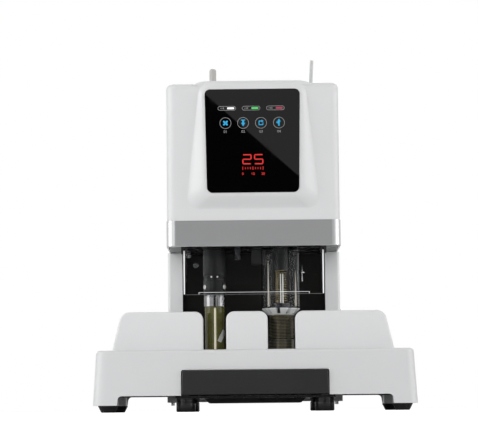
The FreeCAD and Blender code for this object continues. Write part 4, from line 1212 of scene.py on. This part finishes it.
def makeDrillSleeve():
    collar = turnedTube(drillAxis, drillUnit["collar"], drillUnit["bore"])
    finished(collar, "drillCollar", "drill_lift", "housingBlack", ("drill_sleeve",))
    ring = turnedTube(drillAxis, drillUnit["ring"], drillUnit["bore"])
    finished(ring, "drillRing", "drill_lift", "ringSteelPaintedShade")


def makeCollarScrews():  # socket screws round the collar, and two small dots above them
    d = drillUnit
    pin = bored(turned((0, 0), d["pin"], sides=20), (0, 0), d["pinSocket"], *d["pinSocketSpan"], sides=6)
    dot = turned((0, 0), d["dot"], sides=14)
    studs = []
    for head, kind in ((pin, "pin"), (dot, "dot")):
        for turn in d[kind + "Turns"]:
            place = (*onCircle(drillAxis, d[kind + "Seat"], turn), d[kind + "Height"])
            studs.append(placed(head, place, (0, math.pi / 2, math.radians(turn))))
        discard(head)
    finished(joined(studs), "collarScrews", "drill_lift", "screwAndHighlightBright")


def makePressSleeve():  # a tinted sleeve with a sight slot down its front and a slanting window
    s = pressSleeve
    x, y = drillAxis
    radius, low = s["radius"], s["low"]
    edge = s["edge"]
    outline = [(radius - edge, low), (radius, low + edge), (radius, s["high"])]
    sleeve = turnedTube(drillAxis, outline, s["bore"])
    left, right, slotLow, slotHigh = s["slot"]
    front, back = (y - deep for deep in s["slotDeep"])
    slot = startBox((x + left, front, slotLow), (x + right, back, slotHigh))
    carved(sleeve, rounded(slot, s["slotRound"]))
    outer, inner = s["film"]
    film = turnedTube(drillAxis, [(outer, level) for level in s["filmSpan"]], inner)
    wide, high, reach = s["window"][0] / 2, s["window"][1] / 2, s["windowReach"]
    shiftX, shiftY, level = s["windowPlace"]
    pane = setAt(startBox((-wide, -reach, -high), (wide, reach, high)), (x + shiftX, y + shiftY, level),
                 (0, s["windowSlant"], 0))
    withBoolean(film, "INTERSECT", pane)
    finished(sleeve, "pressSleeve", "drill_press", "amberAcrylic", ("press_sleeve",),
             angle=40)
    finished(film, "sleeveWindow", "drill_press", "paleFilm", angle=40)


def makePaperDrill():
    low = drillUnit["bit"][0][1] - past
    bit = turned(drillAxis, drillUnit["bit"], sides=40)
    bored(bit, drillAxis, drillUnit["bitBore"], low, drillUnit["bitBoreTop"], sides=32)
    # the drill's finish has a painted glow
    finished(bit, "paperDrill", "drill_spindle", "drillCoatPaintedGlow", ("drill_bit",))


makeDrillSleeve()
makeCollarScrews()
makePressSleeve()
makePaperDrill()
print("drill unit done")


rivetCollar = {
    "outline": [(17.8, 130.0), (19.0, 130.9), (25.2, 136.6), (26.2, 137.8), (26.2, 139.0)],
    "sides": 14,
    "bore": 13.4,
    "notches": 10,
    "notchLow": (12.0, -2.5, 131.6),
    "notchHigh": (30.0, 2.5, 143.0),
    "notchTurn": 0.15,
}


def makeRivetCollar():  # cut facets, each one flat, with notches between its lugs
    c = rivetCollar
    collar = turnedTube(rivetAxis, c["outline"], c["bore"], c["sides"], boreSides=56)
    for index in range(c["notches"]):
        turn = 2 * math.pi * index / c["notches"] + c["notchTurn"]
        carved(collar, setAt(startBox(c["notchLow"], c["notchHigh"]), (*rivetAxis, 0), (0, 0, turn)))
    finished(collar, "facetedCollar", "rivet_lift", "cutAcrylic", ("rivet_collar",),
             angle=12)


# solid strips where the clear shield shows its side highlights, a painted highlight
shieldHighlight = {
    "radius": 24.2,  # from the axis
    "turns": {226: (141, 204), 325: (141, 190)},  # each strip's turn and its lowest and highest point
    "foot": ((0.3, 0), (1.2, 1.5), (1.1, 16)),  # radius and height from its lowest point
    "tip": ((0.5, -12), (0.15, 0)),  # radius and height from its highest point
}


def makeShieldHighlights():  # two warm strips inside the clear shield, a painted highlight on its sides
    highlightStrips = []
    for turn, (low, high) in shieldHighlight["turns"].items():
        outline = [(radius, low + up) for radius, up in shieldHighlight["foot"]]
        outline += [(radius, high + up) for radius, up in shieldHighlight["tip"]]
        highlightStrips.append(turned(onCircle(rivetAxis, shieldHighlight["radius"], turn), outline, sides=12))
    finished(joined(highlightStrips), "shieldRibs", "rivet_lift", "paintedHighlightWarm", angle=50)


rivetFoot = {
    "highlightPlaces": ((-0.2, -10.7), (2.8, -10.7)),  # from the axis, for the bars of painted highlight
    "pin": [(0.8, 145.8), (0.8, 185.4), (0.4, 186.0)],
    "cup": [(9.6, 191.0), (9.7, 192.0), (9.7, 236.2)],
    "cupBore": 9.1,
    "rings": 7,
    "ringRadius": 17.6,
    "ringWire": 0.75,
    "ringLow": 84.0,
    "ringPitch": 2.06,
}


def makeRivetFoot():  # two bright bars in front of the spring as a painted highlight, the dark cup over the spring and the rings of the foot
    f = rivetFoot
    x, y = rivetAxis
    # two bright bars that stand in for a highlight, a painted highlight
    highlightBars = [turned((x + right, y + back), f["pin"], sides=16) for right, back in f["highlightPlaces"]]
    finished(joined(highlightBars), "springPins", "rivet_press", "screwAndHighlightBright", angle=40)
    cup = turnedTube(rivetAxis, f["cup"], f["cupBore"])
    finished(cup, "springCup", "rivet_lift", "housingBlack")
    rings = []
    for index in range(f["rings"]):
        place = Vector((x, y, f["ringLow"] + f["ringPitch"] * index)) * mm
        bpy.ops.mesh.primitive_torus_add(location=place, major_radius=f["ringRadius"] * mm,
                                         minor_radius=f["ringWire"] * mm, major_segments=72, minor_segments=8)
        rings.append(freeze(active()))
    finished(joined(rings), "footRings", "rivet_press", "springBlack", angle=80)


rivetPunch = {
    "tip": [(1.6, 86.0), (2.4, 88.0), (2.4, 183.0), (2.1, 184.0)],
    "groove": ((-0.55, -4.0, 92.0), (0.55, -1.2, 180.0)),  # x and y from the axis
    "shank": [(2.1, 183.5), (2.1, 184.5), (1.9, 185.0), (1.9, 254.0), (2.4, 254.5), (2.4, 255.9)],
}


def makeRivetPunch():
    tip = turned(rivetAxis, rivetPunch["tip"], sides=40)
    carved(tip, startBox(*(Vector(corner) + Vector((*rivetAxis, 0)) for corner in rivetPunch["groove"])))
    finished(tip, "punchTip", "rivet_lift", "blackSteel", ("heated_punch",), angle=30)
    shank = turned(rivetAxis, rivetPunch["shank"], sides=32)
    finished(shank, "punchShank", "rivet_lift", "blackSteel", angle=30)


makeRivetCollar()
makeShieldHighlights()
makeRivetFoot()
makeRivetPunch()
print("rivet unit done")


throatFit = {
    "wall": 8.0,
    "stripX": 68.0,
    "stripWide": 1.8,
    "stripSpan": (180.0, 205.0),
    "stripRise": 1.6,
    "stripTaper": (0.7, 1, 0.9),
    "seat": 0.2,  # how far both are let into the wall
    "tabSpan": (66.6, 71.4, 193.0, 195.4),  # from x to x and from z to z
    "tabRise": 0.8,
    "round": 0.3,
    "lens": [(1.4, 204.4), (2.1, 204.9), (2.3, 205.3)],
}


def makeThroatStrip():  # a bright guide strip on the back wall, right of the rivet unit
    t = throatFit
    x, half, (low, high), back = t["stripX"], t["stripWide"] / 2, t["stripSpan"], t["wall"] + t["seat"]
    strip = startBox((x - half, t["wall"] - t["stripRise"], low), (x + half, back, high))
    edit(strip, "VERT")
    pickPoints(strip, lambda p: p.y < t["wall"] - t["tabRise"])
    scaleFrom((x, 0, (low + high) / 2), *t["stripTaper"])
    leave()
    left, right, tabLow, tabHigh = t["tabSpan"]
    tab = startBox((left, t["wall"] - t["tabRise"], tabLow), (right, back, tabHigh))
    both = joined([rounded(strip, t["round"], 2), rounded(tab, t["round"], 2)])
    finished(both, "throatStrip", "machine", "chrome")


def makePointerLens():
    lens = turned(axisOf("laser_pointer"), throatFit["lens"], sides=28)
    finished(lens, "pointerLens", "machine", "lensRed")


makeThroatStrip()
makePointerLens()
print("throat fittings done")


feet = {
    "cornerFeet": {"node": "corner_feet", "skin": "footRubber",
                   "places": ((-195, -132), (195, -132), (-195, 62), (195, 62)),
                   "outline": [(9.0, 0), (9.6, 0.7), (12.7, 7.0), (13.4, 7.9), (13.5, 9.2)]},
    "centreLegs": {"node": "centre_legs", "skin": "legBlack",
                   "places": ((-93, -100), (93, -100), (-93, 100), (93, 100)),
                   "outline": [(11.9, 0), (12.8, 0.6), (13.0, 1.5), (13.0, 12.2), (12.4, 12.7), (12.4, 14.0),
                               (13.0, 14.5), (13.0, 18.0)]},
}
screwWell = {"radius": 4.5, "depth": 3.0}
railCap = {"low": (107.1, -13.4, 13.4), "high": (121.5, -12.0, 24.4), "round": 0.5}  # the right one


def makeFeet():
    for name, foot in feet.items():
        parts = []
        for place in foot["places"]:
            part = turned(place, foot["outline"], sides=56)
            parts.append(bored(part, place, screwWell["radius"], -past, screwWell["depth"], sides=28))
        finished(joined(parts), name, "machine", foot["skin"], (foot["node"],))


def makeRailCaps():  # moulded ends that close the under rails in front
    (left, front, low), (right, back, high) = railCap["low"], railCap["high"]
    caps = []
    for start, end in ((-right, -left), (left, right)):
        caps.append(rounded(startBox((start, front, low), (end, back, high)), railCap["round"]))
    # the lighter white of the caps is painted light
    finished(joined(caps), "railCaps", "machine", "capWhitePaintedLight")


makeFeet()
makeRailCaps()
print("feet done")
